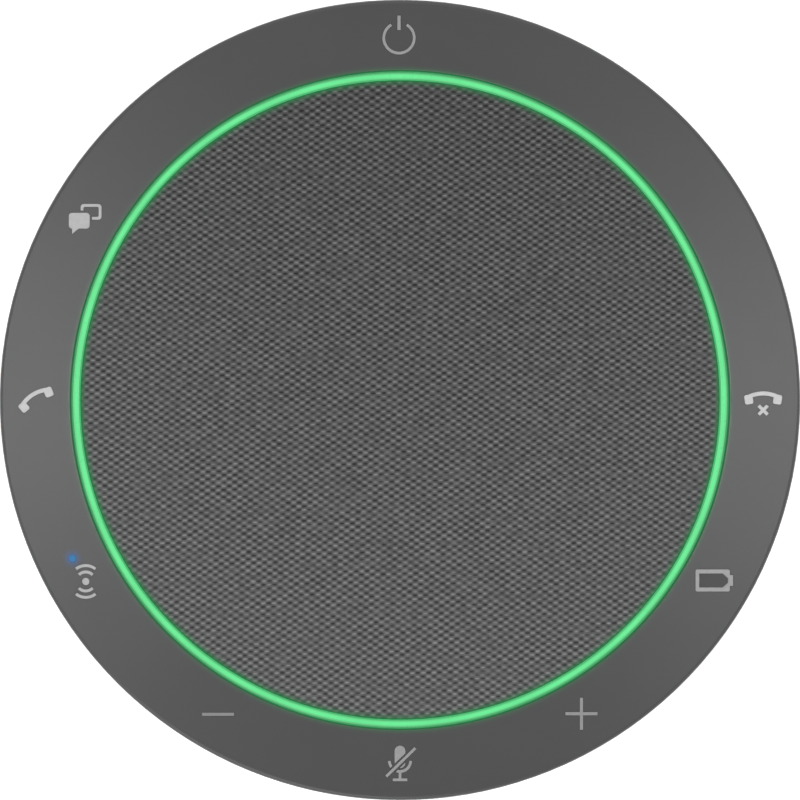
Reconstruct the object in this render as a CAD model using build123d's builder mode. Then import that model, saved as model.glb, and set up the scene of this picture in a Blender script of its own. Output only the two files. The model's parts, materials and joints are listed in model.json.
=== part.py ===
from build123d import *
import os
from math import atan2, cos, degrees, hypot, radians, sin, sqrt

# Conference speakerphone: a round battery-powered puck with a fabric-covered driver in the
# middle, a lit ring round it and nine keys under one soft skin.  Millimetres, +Z up, origin
# on the table under the centre, -Y towards the person who uses it.

# ---------------------------------------------------------------- driving dimensions
OUTER_R = 61.0          # largest radius, at the waist and up to the skin's edge
HEIGHT = 33.5           # table to the crown of the fabric
BASE_Z = 1.3            # underside of the lower housing
BASE_R = 48.5           # radius where the side arc meets the underside
WAIST_Z = 27.0          # the side stands upright above this height
SPLIT_Z = 15.0          # top edge of the lower housing
SEAL_T = 0.4            # flat seal between the two housings
WALL = 1.7              # housing wall
FLOOR_T = 2.5           # lower housing floor

SHOULDER_Z = 29.0       # top of the upright wall, under the skin's edge
RIM_R = 50.1            # inner edge of the key ring
FLANGE_R = 60.0         # outer radius of the flange that carries the skin
SKIN_T = 1.2
SKIN_EDGE_R = 0.6       # rounding of the skin's outer edge
SKIN_GAP = 0.15         # groove between skin and housing
RIM_TOP_Z = 32.7        # skin surface at its inner edge
EDGE_TOP_Z = 31.7       # skin surface at the flange radius

KEY_SPAN = 11.5         # half angle of a key plate, degrees
KEY_IN_R = 51.85
KEY_OUT_R = 59.05
KEY_CLEAR = 0.25        # round each plate in its window
KEY_TOP_GAP = 0.1       # between plate and skin
LEGEND_CLEAR = 0.05     # round each legend in the skin
LEGEND_R = 55.45        # radius of the circle that the legends stand on
STROKE = 0.44           # line width of the thin legends
BOLD = 0.5              # line width of their straight bars

LIGHT_IN_R = 48.8
LIGHT_OUT_R = 49.95
LIGHT_TOP_Z = 32.9
LIGHT_FLANGE_R = 51.0

BAFFLE_Z = 24.0
BAFFLE_T = 1.8
BAFFLE_R = 57.5
DRIVER_HOLE_R = 24.5
BOARD_T = 1.0           # key board
MAIN_BOARD_Z = 17.0
MAIN_BOARD_T = 1.2

PLATE_R = 48.2          # grille plate
FABRIC_R = 48.7
FABRIC_T = 0.6
PLATE_T = 1.0
DOME_DROP = 0.9         # from the crown of the grille to its edge

HOUSING_SCREW_R = 44.25
BAFFLE_SCREW_R = 54.0
SCREW_ANGLE = 45.0      # first of four, for both sets

OVER = 1.0              # how far a cutting solid runs past what it cuts

FLOOR_Z = BASE_Z + FLOOR_T
BAFFLE_TOP = BAFFLE_Z + BAFFLE_T
KEY_BOARD_TOP = BAFFLE_TOP + BOARD_T
MAIN_BOARD_TOP = MAIN_BOARD_Z + MAIN_BOARD_T
SIDE_DROP = WAIST_Z - BASE_Z
SIDE_ARC_R = ((OUTER_R - BASE_R) ** 2 + SIDE_DROP**2) / (2 * (OUTER_R - BASE_R))
SIDE_CENTRE = OUTER_R - SIDE_ARC_R
SKIN_SLOPE = (RIM_TOP_Z - EDGE_TOP_Z) / (FLANGE_R - RIM_R)

os.makedirs("parts", exist_ok=True)


# ---------------------------------------------------------------- shared geometry
def side_radius(z, inset=0.0):
    """Radius of the shell's side at height z, or of a surface a wall's thickness inside it."""
    drop = max(WAIST_Z - z, 0.0)
    return SIDE_CENTRE + sqrt((SIDE_ARC_R - inset) ** 2 - drop**2)


def skin_top(r):
    """Height of the skin's conical top at radius r."""
    return RIM_TOP_Z - SKIN_SLOPE * (r - RIM_R)


def polar(radius, angle):
    """Plan position at a radius and an angle in degrees."""
    return radius * cos(radians(angle)), radius * sin(radians(angle))


def side_arc(low, high, inset=0.0):
    """Draw the side's arc between two heights, up to the waist."""
    points = [(side_radius(z, inset), z) for z in (low, (low + high) / 2, high)]
    return ThreePointArc(*points)


def crown_arc(edge_r, top, drop):
    """Draw a dome's arc from its top on the axis down to its edge, centred on the axis."""
    ball = (edge_r**2 + drop**2) / (2 * drop)
    half_way = top - ball + sqrt(ball**2 - edge_r**2 / 4)
    return ThreePointArc((0, top), (edge_r / 2, half_way), (edge_r, top - drop))


def ring_part(inner, outer, start, span, centre=(0, 0)):
    """Draw the part of a flat ring that runs from a start angle over a span, in degrees."""
    with BuildLine() as outline:
        far = CenterArc(centre, outer, start, span)
        near = CenterArc(centre, inner, start, span)
        Line(far @ 0, near @ 0)
        Line(far @ 1, near @ 1)
    make_face(outline.edges())


def turned(z, angle):
    """Level plane at height z whose X axis points at an angle."""
    return Plane.XY.offset(z).rotated((0, 0, angle))


def outward(radius, angle, z):
    """Plane that faces outwards at a radius and height, with its Y axis up."""
    x, y = polar(radius, angle)
    along = (-sin(radians(angle)), cos(radians(angle)), 0)
    return Plane(origin=(x, y, z), x_dir=along, z_dir=(cos(radians(angle)), sin(radians(angle)), 0))


# ---------------------------------------------------------------- housings
HEAD_R = 2.5
HEAD_H = 1.9
HEAD_BORE_R = 2.7
POST_R = 3.5
POST_TOP = 16.0
SHANK_R = 1.25
SHANK_HOLE_R = 1.6
HOUSING_SCREW_TOP = 22.0

FOOT_IN_R = 41.0
FOOT_OUT_R = 47.0
FOOT_GROOVE = 1.0
FOOT_CLEAR = 0.05
LABEL_R = 36.0
LABEL_T = 0.4
FOOT_FILLET = 0.4
BASE_FILLET = 1.5

LIP_T = 0.9
LIP_LOW = 13.0
LIP_TOP = 16.8
LIP_GAP = 0.12

BOARD_POSTS = [(46.0, 22.0), (46.0, 158.0), (37.0, 66.0), (37.0, 114.0)]
BOARD_POST_R = 2.5
BOARD_SCREW_R = 0.9
BOARD_SCREW_DEPTH = 7.0

GROOVE_TOP = BASE_Z + FOOT_GROOVE
POST_LOW = FLOOR_Z - FLOOR_T / 4
LIP_R = side_radius(SPLIT_Z + SEAL_T, WALL) - LIP_GAP

with BuildPart() as lower_housing:
    with BuildSketch(Plane.XZ):
        with BuildLine():
            Polyline(
                (0, FLOOR_Z),
                (0, BASE_Z + LABEL_T),
                (LABEL_R + FOOT_CLEAR, BASE_Z + LABEL_T),
                (LABEL_R + FOOT_CLEAR, BASE_Z),
                (FOOT_IN_R - FOOT_CLEAR, BASE_Z),
                (FOOT_IN_R - FOOT_CLEAR, GROOVE_TOP),
                (FOOT_OUT_R + FOOT_CLEAR, GROOVE_TOP),
                (FOOT_OUT_R + FOOT_CLEAR, BASE_Z),
                (BASE_R, BASE_Z),
            )
            side_arc(BASE_Z, SPLIT_Z)
            Line((side_radius(SPLIT_Z), SPLIT_Z), (side_radius(SPLIT_Z, WALL), SPLIT_Z))
            side_arc(FLOOR_Z, SPLIT_Z, WALL)
            Line((side_radius(FLOOR_Z, WALL), FLOOR_Z), (0, FLOOR_Z))
        make_face()
    revolve(axis=Axis.Z)
    base_edges = lower_housing.edges().filter_by(GeomType.CIRCLE).group_by(Axis.Z)[0]
    fillet(base_edges.sort_by(SortBy.RADIUS)[-1], BASE_FILLET)
    with BuildSketch(Plane.XY.offset(LIP_LOW)):
        Circle(LIP_R)
        Circle(LIP_R - LIP_T, mode=Mode.SUBTRACT)
    extrude(amount=LIP_TOP - LIP_LOW)
    with BuildSketch(Plane.XY.offset(POST_LOW)):
        with PolarLocations(HOUSING_SCREW_R, 4, start_angle=SCREW_ANGLE):
            Circle(POST_R)
    extrude(amount=POST_TOP - POST_LOW)
    with BuildSketch(Plane.XY.offset(POST_LOW)):
        with Locations(*[polar(r, a) for r, a in BOARD_POSTS]):
            Circle(BOARD_POST_R)
    extrude(amount=MAIN_BOARD_Z - POST_LOW)
    with BuildSketch(Plane.XY.offset(GROOVE_TOP)):
        with PolarLocations(HOUSING_SCREW_R, 4, start_angle=SCREW_ANGLE):
            Circle(HEAD_BORE_R)
    extrude(amount=HEAD_H + FOOT_CLEAR, mode=Mode.SUBTRACT)
    with BuildSketch(Plane.XY.offset(GROOVE_TOP)):
        with PolarLocations(HOUSING_SCREW_R, 4, start_angle=SCREW_ANGLE):
            Circle(SHANK_HOLE_R)
    extrude(amount=POST_TOP - GROOVE_TOP, mode=Mode.SUBTRACT)
    with BuildSketch(Plane.XY.offset(MAIN_BOARD_Z)):
        with Locations(*[polar(r, a) for r, a in BOARD_POSTS]):
            Circle(BOARD_SCREW_R)
    extrude(amount=-BOARD_SCREW_DEPTH, mode=Mode.SUBTRACT)

lower_housing.part.label = "lower_housing"
export_step(lower_housing.part, "parts/lower_housing.step")

BOSS_R = 2.5
BAFFLE_SHANK_R = 1.0
BAFFLE_SHANK_TOP = 28.3

PORT_W = 9.6
PORT_H = 3.9
PORT_R = 1.85
SHELL_W = 8.94
SHELL_H = 3.26
SHELL_T = 0.3
SHELL_BACK_Y = 52.3
SHELL_MOUTH_Y = 59.6
PORT_Z = MAIN_BOARD_TOP + SHELL_H / 2

MIC_ANGLES = [30.0, 120.0, 210.0, 300.0]
MIC_Z = 20.8
MIC_PORT_R = 0.6

KEYS = {
    "power": 90.0,
    "meeting": 150.0,
    "answer": 180.0,
    "wireless": 210.0,
    "volume_down": 240.0,
    "mute": 270.0,
    "volume_up": 300.0,
    "battery": 330.0,
    "end_call": 0.0,
}
WINDOW_EXTRA = 0.7      # half angle that a window has over its plate, degrees

with BuildPart() as upper_housing:
    with BuildSketch(Plane.XZ):
        with BuildLine():
            side_arc(SPLIT_Z + SEAL_T, WAIST_Z)
            Polyline(
                (OUTER_R, WAIST_Z),
                (OUTER_R, SHOULDER_Z),
                (FLANGE_R, SHOULDER_Z),
                (FLANGE_R, skin_top(FLANGE_R) - SKIN_T),
                (RIM_R, skin_top(RIM_R) - SKIN_T),
                (RIM_R, SHOULDER_Z),
                (OUTER_R - WALL, SHOULDER_Z),
                (OUTER_R - WALL, WAIST_Z),
            )
            side_arc(SPLIT_Z + SEAL_T, WAIST_Z, WALL)
            Line(
                (side_radius(SPLIT_Z + SEAL_T, WALL), SPLIT_Z + SEAL_T),
                (side_radius(SPLIT_Z + SEAL_T), SPLIT_Z + SEAL_T),
            )
        make_face()
    revolve(axis=Axis.Z)
    for angle in KEYS.values():
        with BuildSketch(turned(SHOULDER_Z, angle)):
            half = KEY_SPAN + WINDOW_EXTRA
            ring_part(KEY_IN_R - KEY_CLEAR, KEY_OUT_R + KEY_CLEAR, -half, 2 * half)
        extrude(amount=RIM_TOP_Z - SHOULDER_Z, mode=Mode.SUBTRACT)
    with BuildSketch(Plane.XY.offset(BAFFLE_TOP)):
        with PolarLocations(BAFFLE_SCREW_R, 4, start_angle=SCREW_ANGLE):
            Circle(BOSS_R)
    extrude(amount=SHOULDER_Z - BAFFLE_TOP)
    with BuildSketch(Plane.XY.offset(BAFFLE_TOP)):
        with PolarLocations(BAFFLE_SCREW_R, 4, start_angle=SCREW_ANGLE):
            Circle(BAFFLE_SHANK_R)
    extrude(amount=BAFFLE_SHANK_TOP - BAFFLE_TOP, mode=Mode.SUBTRACT)
    with BuildSketch(outward(SHELL_BACK_Y, 90, PORT_Z)):
        RectangleRounded(PORT_W, PORT_H, PORT_R)
    extrude(amount=OUTER_R - SHELL_BACK_Y, mode=Mode.SUBTRACT)
    for angle in MIC_ANGLES:
        with BuildSketch(outward(SHELL_BACK_Y, angle, MIC_Z)):
            Circle(MIC_PORT_R)
        extrude(amount=OUTER_R - SHELL_BACK_Y, mode=Mode.SUBTRACT)

upper_housing.part.label = "upper_housing"
export_step(upper_housing.part, "parts/upper_housing.step")

SEAL_OUT = 0.5          # the seal stays this far inside the housing's side

with BuildPart() as housing_seal:
    with BuildSketch(Plane.XY.offset(SPLIT_Z)):
        Circle(side_radius(SPLIT_Z) - SEAL_OUT)
        Circle(LIP_R + LIP_GAP / 2, mode=Mode.SUBTRACT)
    extrude(amount=SEAL_T)

housing_seal.part.label = "housing_seal"
export_step(housing_seal.part, "parts/housing_seal.step")

with BuildPart() as foot_ring:
    with BuildSketch(Plane.XY):
        Circle(FOOT_OUT_R)
        Circle(FOOT_IN_R, mode=Mode.SUBTRACT)
    extrude(amount=GROOVE_TOP)
    fillet(foot_ring.edges().group_by(Axis.Z)[0], FOOT_FILLET)

foot_ring.part.label = "foot_ring"
export_step(foot_ring.part, "parts/foot_ring.step")

with BuildPart() as rating_plate:
    with BuildSketch(Plane.XY.offset(BASE_Z)):
        Circle(LABEL_R)
    extrude(amount=LABEL_T)

rating_plate.part.label = "rating_plate"
export_step(rating_plate.part, "parts/rating_plate.step")

with BuildPart() as housing_screws:
    with BuildSketch(Plane.XY.offset(GROOVE_TOP + FOOT_CLEAR)):
        with PolarLocations(HOUSING_SCREW_R, 4, start_angle=SCREW_ANGLE):
            Circle(HEAD_R)
    extrude(amount=HEAD_H)
    with BuildSketch(Plane.XY.offset(GROOVE_TOP + FOOT_CLEAR + HEAD_H)):
        with PolarLocations(HOUSING_SCREW_R, 4, start_angle=SCREW_ANGLE):
            Circle(SHANK_R)
    extrude(amount=HOUSING_SCREW_TOP - GROOVE_TOP - FOOT_CLEAR - HEAD_H)

housing_screws.part.label = "housing_screws"
export_step(housing_screws.part, "parts/housing_screws.step")


# ---------------------------------------------------------------- key legends
# Every legend is drawn about its own centre, upright as the user reads it.  grow widens it
# on every side, which turns a legend into the cut-out that it stands in.
def bar(start, end, width, grow, mode=Mode.ADD):
    """Draw a square-ended bar from start to end."""
    run_x, run_y = end[0] - start[0], end[1] - start[1]
    slope = degrees(atan2(run_y, run_x))
    with Locations(((start[0] + end[0]) / 2, (start[1] + end[1]) / 2)):
        Rectangle(hypot(run_x, run_y) + 2 * grow, width + 2 * grow, rotation=slope, mode=mode)


def stroke_arc(centre, radius, start, span, width, grow):
    """Draw an arc of a constant width about a centre."""
    extra = degrees(grow / radius)
    half = width / 2 + grow
    ring_part(radius - half, radius + half, start - extra, span + 2 * extra, centre)


def draw_power(grow):
    """Broken circle with a bar in its gap."""
    ring = 2.32
    ring_y = -0.47
    gap = 30.0
    bar_low, bar_high = 0.72, 2.95
    stroke_arc((0, ring_y), ring, 90 + gap, 360 - 2 * gap, STROKE, grow)
    bar((0, bar_low), (0, bar_high), BOLD, grow)


def bubble(centre, margin, mode=Mode.ADD):
    """Draw a speech bubble's rounded body, widened by a margin."""
    wide, high, corner = 3.2, 2.4, 0.5
    with Locations(centre):
        RectangleRounded(wide + 2 * margin, high + 2 * margin, max(corner + margin, STROKE / 2), mode=mode)


def draw_meeting(grow):
    """Outlined speech bubble behind a filled one."""
    back, front = (1.0, 0.95), (-0.8, -0.4)
    gap = 0.35
    tail_left, tail_right = -1.9, -0.7
    tail_top, tail_tip = -1.45, -2.45
    run, drop = 1.6, 2.1        # how far the tail's slanted side moves across and down as it grows
    bubble(back, grow)
    bubble(back, -STROKE - grow, Mode.SUBTRACT)
    bubble(front, gap - grow, Mode.SUBTRACT)
    bubble(front, grow)
    with BuildLine() as outline:
        Polyline(
            (tail_left - grow, tail_top),
            (tail_right + run * grow, tail_top),
            (tail_left - grow, tail_tip - drop * grow),
            close=True,
        )
    make_face(outline.edges())


def draw_handset(tilt, centre, grow):
    """Telephone handset that bulges upwards, turned by a tilt."""
    half = 2.2          # from the middle to each earpiece's centre
    rise = 0.5
    grip = 0.62
    ear_wide, ear_high, ear_corner = 1.28, 1.46, 0.32
    ear_drop = 0.42
    ear_turn = 9.0
    radius = (half**2 + rise**2) / (2 * rise)
    reach = degrees(atan2(half, radius - rise))
    turn = radians(tilt)
    low_x = centre[0] + (radius - rise) * sin(turn)
    low_y = centre[1] - (radius - rise) * cos(turn)
    stroke_arc((low_x, low_y), radius, 90 + tilt - reach, 2 * reach, grip, grow)
    for side in (-1, 1):
        ear_x = centre[0] + side * half * cos(turn) + ear_drop * sin(turn)
        ear_y = centre[1] + side * half * sin(turn) - ear_drop * cos(turn)
        with Locations((ear_x, ear_y)):
            RectangleRounded(
                ear_wide + 2 * grow, ear_high + 2 * grow, ear_corner + grow, rotation=tilt - side * ear_turn
            )


def draw_answer(grow):
    """Handset lifted off its rest."""
    tilt = 31.5
    centre = (-0.19, 0.42)
    draw_handset(tilt, centre, grow)


def draw_end_call(grow):
    """Handset lying flat over a small cross."""
    handset_y, cross_y = 0.5, -1.54
    arm = 0.68
    draw_handset(0.0, (0, handset_y), grow)
    bar((-arm, cross_y - arm), (arm, cross_y + arm), BOLD, grow)
    bar((-arm, cross_y + arm), (arm, cross_y - arm), BOLD, grow)


def draw_wireless(grow):
    """Dot with waves going out above and below it."""
    dot = 0.55
    waves = ((1.45, 46.0), (2.42, 38.0))        # radius and half angle of each pair
    Circle(dot + grow)
    for radius, reach in waves:
        for middle in (90, 270):
            stroke_arc((0, 0), radius, middle - reach, 2 * reach, STROKE, grow)


SIGN_HALF = 2.45        # half length of the minus and plus signs' bars


def draw_volume_down(grow):
    """Minus sign."""
    bar((-SIGN_HALF, 0), (SIGN_HALF, 0), BOLD, grow)


def draw_volume_up(grow):
    """Plus sign."""
    bar((-SIGN_HALF, 0), (SIGN_HALF, 0), BOLD, grow)
    bar((0, -SIGN_HALF), (0, SIGN_HALF), BOLD, grow)


def draw_mute(grow):
    """Microphone on a stand, struck through."""
    capsule_y, capsule_r, capsule_len = 1.0, 0.83, 3.45
    cradle_y, cradle_r = 0.4, 1.62
    foot_y, foot_half = -2.5, 1.12
    slash = ((-2.1, -2.0), (2.35, 2.35))
    slash_gap = 0.28
    with Locations((0, capsule_y)):
        SlotOverall(capsule_len + 2 * grow, 2 * (capsule_r + grow), rotation=90)
    stroke_arc((0, cradle_y), cradle_r, 180, 180, STROKE, grow)
    bar((0, cradle_y - cradle_r), (0, foot_y), STROKE, grow)
    bar((-foot_half, foot_y), (foot_half, foot_y), STROKE, grow)
    bar(*slash, STROKE + 2 * slash_gap, -grow, Mode.SUBTRACT)
    bar(*slash, STROKE, grow)


def draw_cell_core(mode=Mode.ADD):
    """Inside of the battery legend, which tapers towards the pole."""
    left, shoulder, tip = -2.05, 1.5, 2.3
    high, tip_high = 1.07, 0.35
    with BuildLine() as outline:
        Polyline(
            (left, -high),
            (left, high),
            (shoulder, high),
            (tip, tip_high),
            (tip, -tip_high),
            (shoulder, -high),
            close=True,
        )
    make_face(outline.edges(), mode=mode)


def draw_battery(grow):
    """Outline of a cell with its pole on the right."""
    wide, high, corner = 5.25, 3.38, 0.3
    pole_out, pole_high = 0.48, 1.63
    RectangleRounded(wide + 2 * grow, high + 2 * grow, corner + grow)
    bar((0, 0), (wide / 2 + pole_out, 0), pole_high, grow)
    draw_cell_core(Mode.SUBTRACT)


DRAW = {
    "power": draw_power,
    "meeting": draw_meeting,
    "answer": draw_answer,
    "wireless": draw_wireless,
    "volume_down": draw_volume_down,
    "mute": draw_mute,
    "volume_up": draw_volume_up,
    "battery": draw_battery,
    "end_call": draw_end_call,
}

LEGEND_OFFSETS = {      # from the key's centre to the legend's
    "power": (-0.15, 0.18),
    "meeting": (-0.05, -0.01),
    "answer": (0.0, 0.0),
    "wireless": (0.15, 0.08),
    "volume_down": (0.0, 0.14),
    "mute": (0.0, 0.08),
    "volume_up": (-0.08, 0.23),
    "battery": (-0.38, 0.23),
    "end_call": (-0.12, 0.0),
}
KEY_CENTRES = {name: polar(LEGEND_R, angle) for name, angle in KEYS.items()}
STATUS_ANGLE = 205.8
STATUS_R = 0.5
STATUS_CENTRE = polar(LEGEND_R, STATUS_ANGLE)
RIM_FILLET = 0.4


def cone_layer(inner, outer, low_depth, high_depth):
    """Draw the section of a layer between two depths under the skin's conical top."""
    with BuildLine() as outline:
        Polyline(
            (inner, skin_top(inner) - low_depth),
            (inner, skin_top(inner) - high_depth),
            (outer, skin_top(outer) - high_depth),
            (outer, skin_top(outer) - low_depth),
            close=True,
        )
    make_face(outline.edges())


def legend_plane(name):
    """Level plane under a legend, centred on it."""
    x, y = KEY_CENTRES[name]
    shift_x, shift_y = LEGEND_OFFSETS[name]
    return Plane(origin=(x + shift_x, y + shift_y, SHOULDER_Z))


with BuildPart() as legend_layer:
    with BuildSketch(Plane.XZ):
        cone_layer(KEY_IN_R, KEY_OUT_R, SKIN_T + KEY_TOP_GAP, 0.0)
    revolve(axis=Axis.Z)

with BuildPart() as plate_layer:
    with BuildSketch(Plane.XZ):
        cone_layer(KEY_IN_R - OVER, KEY_OUT_R + OVER, RIM_TOP_Z - SHOULDER_Z, SKIN_T + KEY_TOP_GAP)
    revolve(axis=Axis.Z)


# ---------------------------------------------------------------- soft skin over the keys
with BuildPart() as key_skin:
    with BuildSketch(Plane.XZ):
        with BuildLine():
            Polyline(
                (RIM_R, skin_top(RIM_R) - SKIN_T),
                (RIM_R, skin_top(RIM_R)),
                (OUTER_R, skin_top(OUTER_R)),
                (OUTER_R, SHOULDER_Z + SKIN_GAP),
                (FLANGE_R, SHOULDER_Z + SKIN_GAP),
                (FLANGE_R, skin_top(FLANGE_R) - SKIN_T),
                close=True,
            )
        make_face()
    revolve(axis=Axis.Z)
    rings = key_skin.edges().filter_by(GeomType.CIRCLE).group_by(SortBy.RADIUS)
    fillet(rings[-1].sort_by(Axis.Z)[-1], SKIN_EDGE_R)
    fillet(rings[0].sort_by(Axis.Z)[-1], RIM_FILLET)
    for name in KEYS:
        with BuildSketch(legend_plane(name)):
            DRAW[name](LEGEND_CLEAR)
        extrude(amount=HEIGHT - SHOULDER_Z, mode=Mode.SUBTRACT)
    with BuildSketch(legend_plane("battery")):
        draw_cell_core()
    extrude(amount=HEIGHT - SHOULDER_Z, mode=Mode.SUBTRACT)
    with BuildSketch(Plane.XY.offset(SHOULDER_Z)):
        with Locations(STATUS_CENTRE):
            Circle(STATUS_R + LEGEND_CLEAR)
    extrude(amount=HEIGHT - SHOULDER_Z, mode=Mode.SUBTRACT)

key_skin.part.label = "key_skin"
export_step(key_skin.part, "parts/key_skin.step")


# ---------------------------------------------------------------- keys and their legends
DOME_R = 3.0
DOME_TOP_R = 1.8
DOME_H = 0.5
KEY_POST_R = 2.0
KEY_POST_GAP = 0.1      # between post and snap dome

for name, angle in KEYS.items():
    with BuildPart() as key:
        with BuildSketch(turned(SHOULDER_Z, angle)):
            ring_part(KEY_IN_R, KEY_OUT_R, -KEY_SPAN, 2 * KEY_SPAN)
        extrude(amount=HEIGHT - SHOULDER_Z)
        add(plate_layer.part, mode=Mode.INTERSECT)
        with BuildSketch(Plane.XY.offset(SHOULDER_Z)):
            with Locations(KEY_CENTRES[name]):
                Circle(KEY_POST_R)
        extrude(amount=KEY_BOARD_TOP + DOME_H + KEY_POST_GAP - SHOULDER_Z)
        if name == "battery":
            # The middle of the cell stands up through the skin inside the legend's frame.
            with BuildSketch(legend_plane(name)):
                draw_cell_core()
            extrude(amount=skin_top(LEGEND_R) - SHOULDER_Z)
    key.part.label = f"key_{name}"
    export_step(key.part, f"parts/key_{name}.step")

    with BuildPart() as legend:
        with BuildSketch(legend_plane(name)):
            DRAW[name](0.0)
        extrude(amount=HEIGHT - SHOULDER_Z)
        add(legend_layer.part, mode=Mode.INTERSECT)
    legend.part.label = f"legend_{name}"
    export_step(legend.part, f"parts/legend_{name}.step")

with BuildPart() as status_lens:
    with BuildSketch(Plane.XY.offset(SHOULDER_Z)):
        with Locations(STATUS_CENTRE):
            Circle(STATUS_R)
    extrude(amount=HEIGHT - SHOULDER_Z)
    add(legend_layer.part, mode=Mode.INTERSECT)

status_lens.part.label = "status_lens"
export_step(status_lens.part, "parts/status_lens.step")


# ---------------------------------------------------------------- light ring and key board
LIGHT_COUNT = 24
LED_LONG = 1.6
LED_WIDE = 0.9
LED_H = 0.6
LIGHT_GAP = 0.1         # between lamps and light guide
LIGHT_FLANGE_T = 1.0
LIGHT_FILLET = 0.3
LIGHT_LOW_Z = KEY_BOARD_TOP + LED_H + LIGHT_GAP
LIGHT_MID_R = (LIGHT_IN_R + LIGHT_OUT_R) / 2

with BuildPart() as light_ring:
    with BuildSketch(Plane.XY.offset(LIGHT_LOW_Z)):
        Circle(LIGHT_OUT_R)
        Circle(LIGHT_IN_R, mode=Mode.SUBTRACT)
    extrude(amount=LIGHT_TOP_Z - LIGHT_LOW_Z)
    fillet(light_ring.edges().group_by(Axis.Z)[-1], LIGHT_FILLET)
    with BuildSketch(Plane.XY.offset(SHOULDER_Z)):
        Circle(LIGHT_FLANGE_R)
        Circle(LIGHT_MID_R, mode=Mode.SUBTRACT)
    extrude(amount=-LIGHT_FLANGE_T)

light_ring.part.label = "light_ring"
export_step(light_ring.part, "parts/light_ring.step")

KEY_BOARD_IN_R = 48.9
KEY_BOARD_OUT_R = 58.4
BOSS_HOLE_R = 2.8

with BuildPart() as key_board:
    with BuildSketch(Plane.XY.offset(BAFFLE_TOP)):
        Circle(KEY_BOARD_OUT_R)
        Circle(KEY_BOARD_IN_R, mode=Mode.SUBTRACT)
        with PolarLocations(BAFFLE_SCREW_R, 4, start_angle=SCREW_ANGLE):
            Circle(BOSS_HOLE_R, mode=Mode.SUBTRACT)
    extrude(amount=BOARD_T)

key_board.part.label = "key_board"
export_step(key_board.part, "parts/key_board.step")

with BuildPart() as ring_leds:
    with BuildSketch(Plane.XY.offset(KEY_BOARD_TOP)):
        with PolarLocations(LIGHT_MID_R, LIGHT_COUNT, start_angle=180 / LIGHT_COUNT):
            Rectangle(LED_WIDE, LED_LONG)
    extrude(amount=LED_H)

ring_leds.part.label = "ring_leds"
export_step(ring_leds.part, "parts/ring_leds.step")

with BuildPart() as switch_domes:
    with Locations(*[(x, y, KEY_BOARD_TOP) for x, y in KEY_CENTRES.values()]):
        Cone(DOME_R, DOME_TOP_R, DOME_H, align=(Align.CENTER, Align.CENTER, Align.MIN))

switch_domes.part.label = "switch_domes"
export_step(switch_domes.part, "parts/switch_domes.step")


# ---------------------------------------------------------------- grille
CROWN_Z = HEIGHT - FABRIC_T
FABRIC_LOW_Z = 28.4
FABRIC_FILLET = 0.35
SHEET_GAP = 0.05        # glue line between fabric and plate
HOLE_R = 2.3
HOLE_PITCH = 6.4
HOLE_FIELD_R = 44.5


def dome_section(radius, crown, thickness, low_z, rim_t):
    """Draw half the section of a shallow dome with a rim that hangs from its edge."""
    edge = crown - DOME_DROP
    inner = radius - rim_t
    with BuildLine() as outline:
        crown_arc(radius, crown, DOME_DROP)
        Polyline((radius, edge), (radius, low_z), (inner, low_z), (inner, edge - thickness))
        crown_arc(inner, crown - thickness, DOME_DROP)
        Line((0, crown - thickness), (0, crown))
    make_face(outline.edges())


with BuildPart() as grille_plate:
    with BuildSketch(Plane.XZ):
        dome_section(PLATE_R, CROWN_Z, PLATE_T, BAFFLE_TOP, PLATE_T)
    revolve(axis=Axis.Z)
    rows = int(HOLE_FIELD_R / (HOLE_PITCH * sqrt(3) / 2))
    field = []
    for row in range(-rows, rows + 1):
        for column in range(-rows - 1, rows + 2):
            spot = (HOLE_PITCH * (column + (row % 2) / 2), row * HOLE_PITCH * sqrt(3) / 2)
            if hypot(*spot) < HOLE_FIELD_R:
                field.append(spot)
    with BuildSketch(Plane.XY.offset(SHOULDER_Z)):
        with Locations(*field):
            Circle(HOLE_R)
    extrude(amount=HEIGHT - SHOULDER_Z, mode=Mode.SUBTRACT)

grille_plate.part.label = "grille_plate"
export_step(grille_plate.part, "parts/grille_plate.step")

with BuildPart() as grille_fabric:
    with BuildSketch(Plane.XZ) as section:
        dome_section(FABRIC_R, HEIGHT, FABRIC_T - SHEET_GAP, FABRIC_LOW_Z, FABRIC_R - PLATE_R - SHEET_GAP)
        hem = section.vertices().group_by(Axis.X)[-1].sort_by(Axis.Y)[-1]
        fillet(hem, FABRIC_FILLET)
    revolve(axis=Axis.Z)

grille_fabric.part.label = "grille_fabric"
export_step(grille_fabric.part, "parts/grille_fabric.step")


# ---------------------------------------------------------------- baffle and speaker chamber
CHAMBER_IN_R = 30.0
CHAMBER_OUT_R = 31.5
CHAMBER_LOW_Z = 4.6
CHAMBER_FLOOR_T = 1.5
DRIVER_SCREW_R = 27.7
DRIVER_BOSS_R = 1.9
DRIVER_BOSS_LOW = 20.5
DRIVER_SHANK_R = 0.9
RIBBON_ANGLE = 60.0
RIBBON_R = 53.0
RIBBON_SLOT_W = 16.0
RIBBON_SLOT_T = 5.0
LEAD_ANGLE = 30.0
LEAD_Z = 21.0
LEAD_PITCH = 2.6
LEAD_R = 0.6

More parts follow.
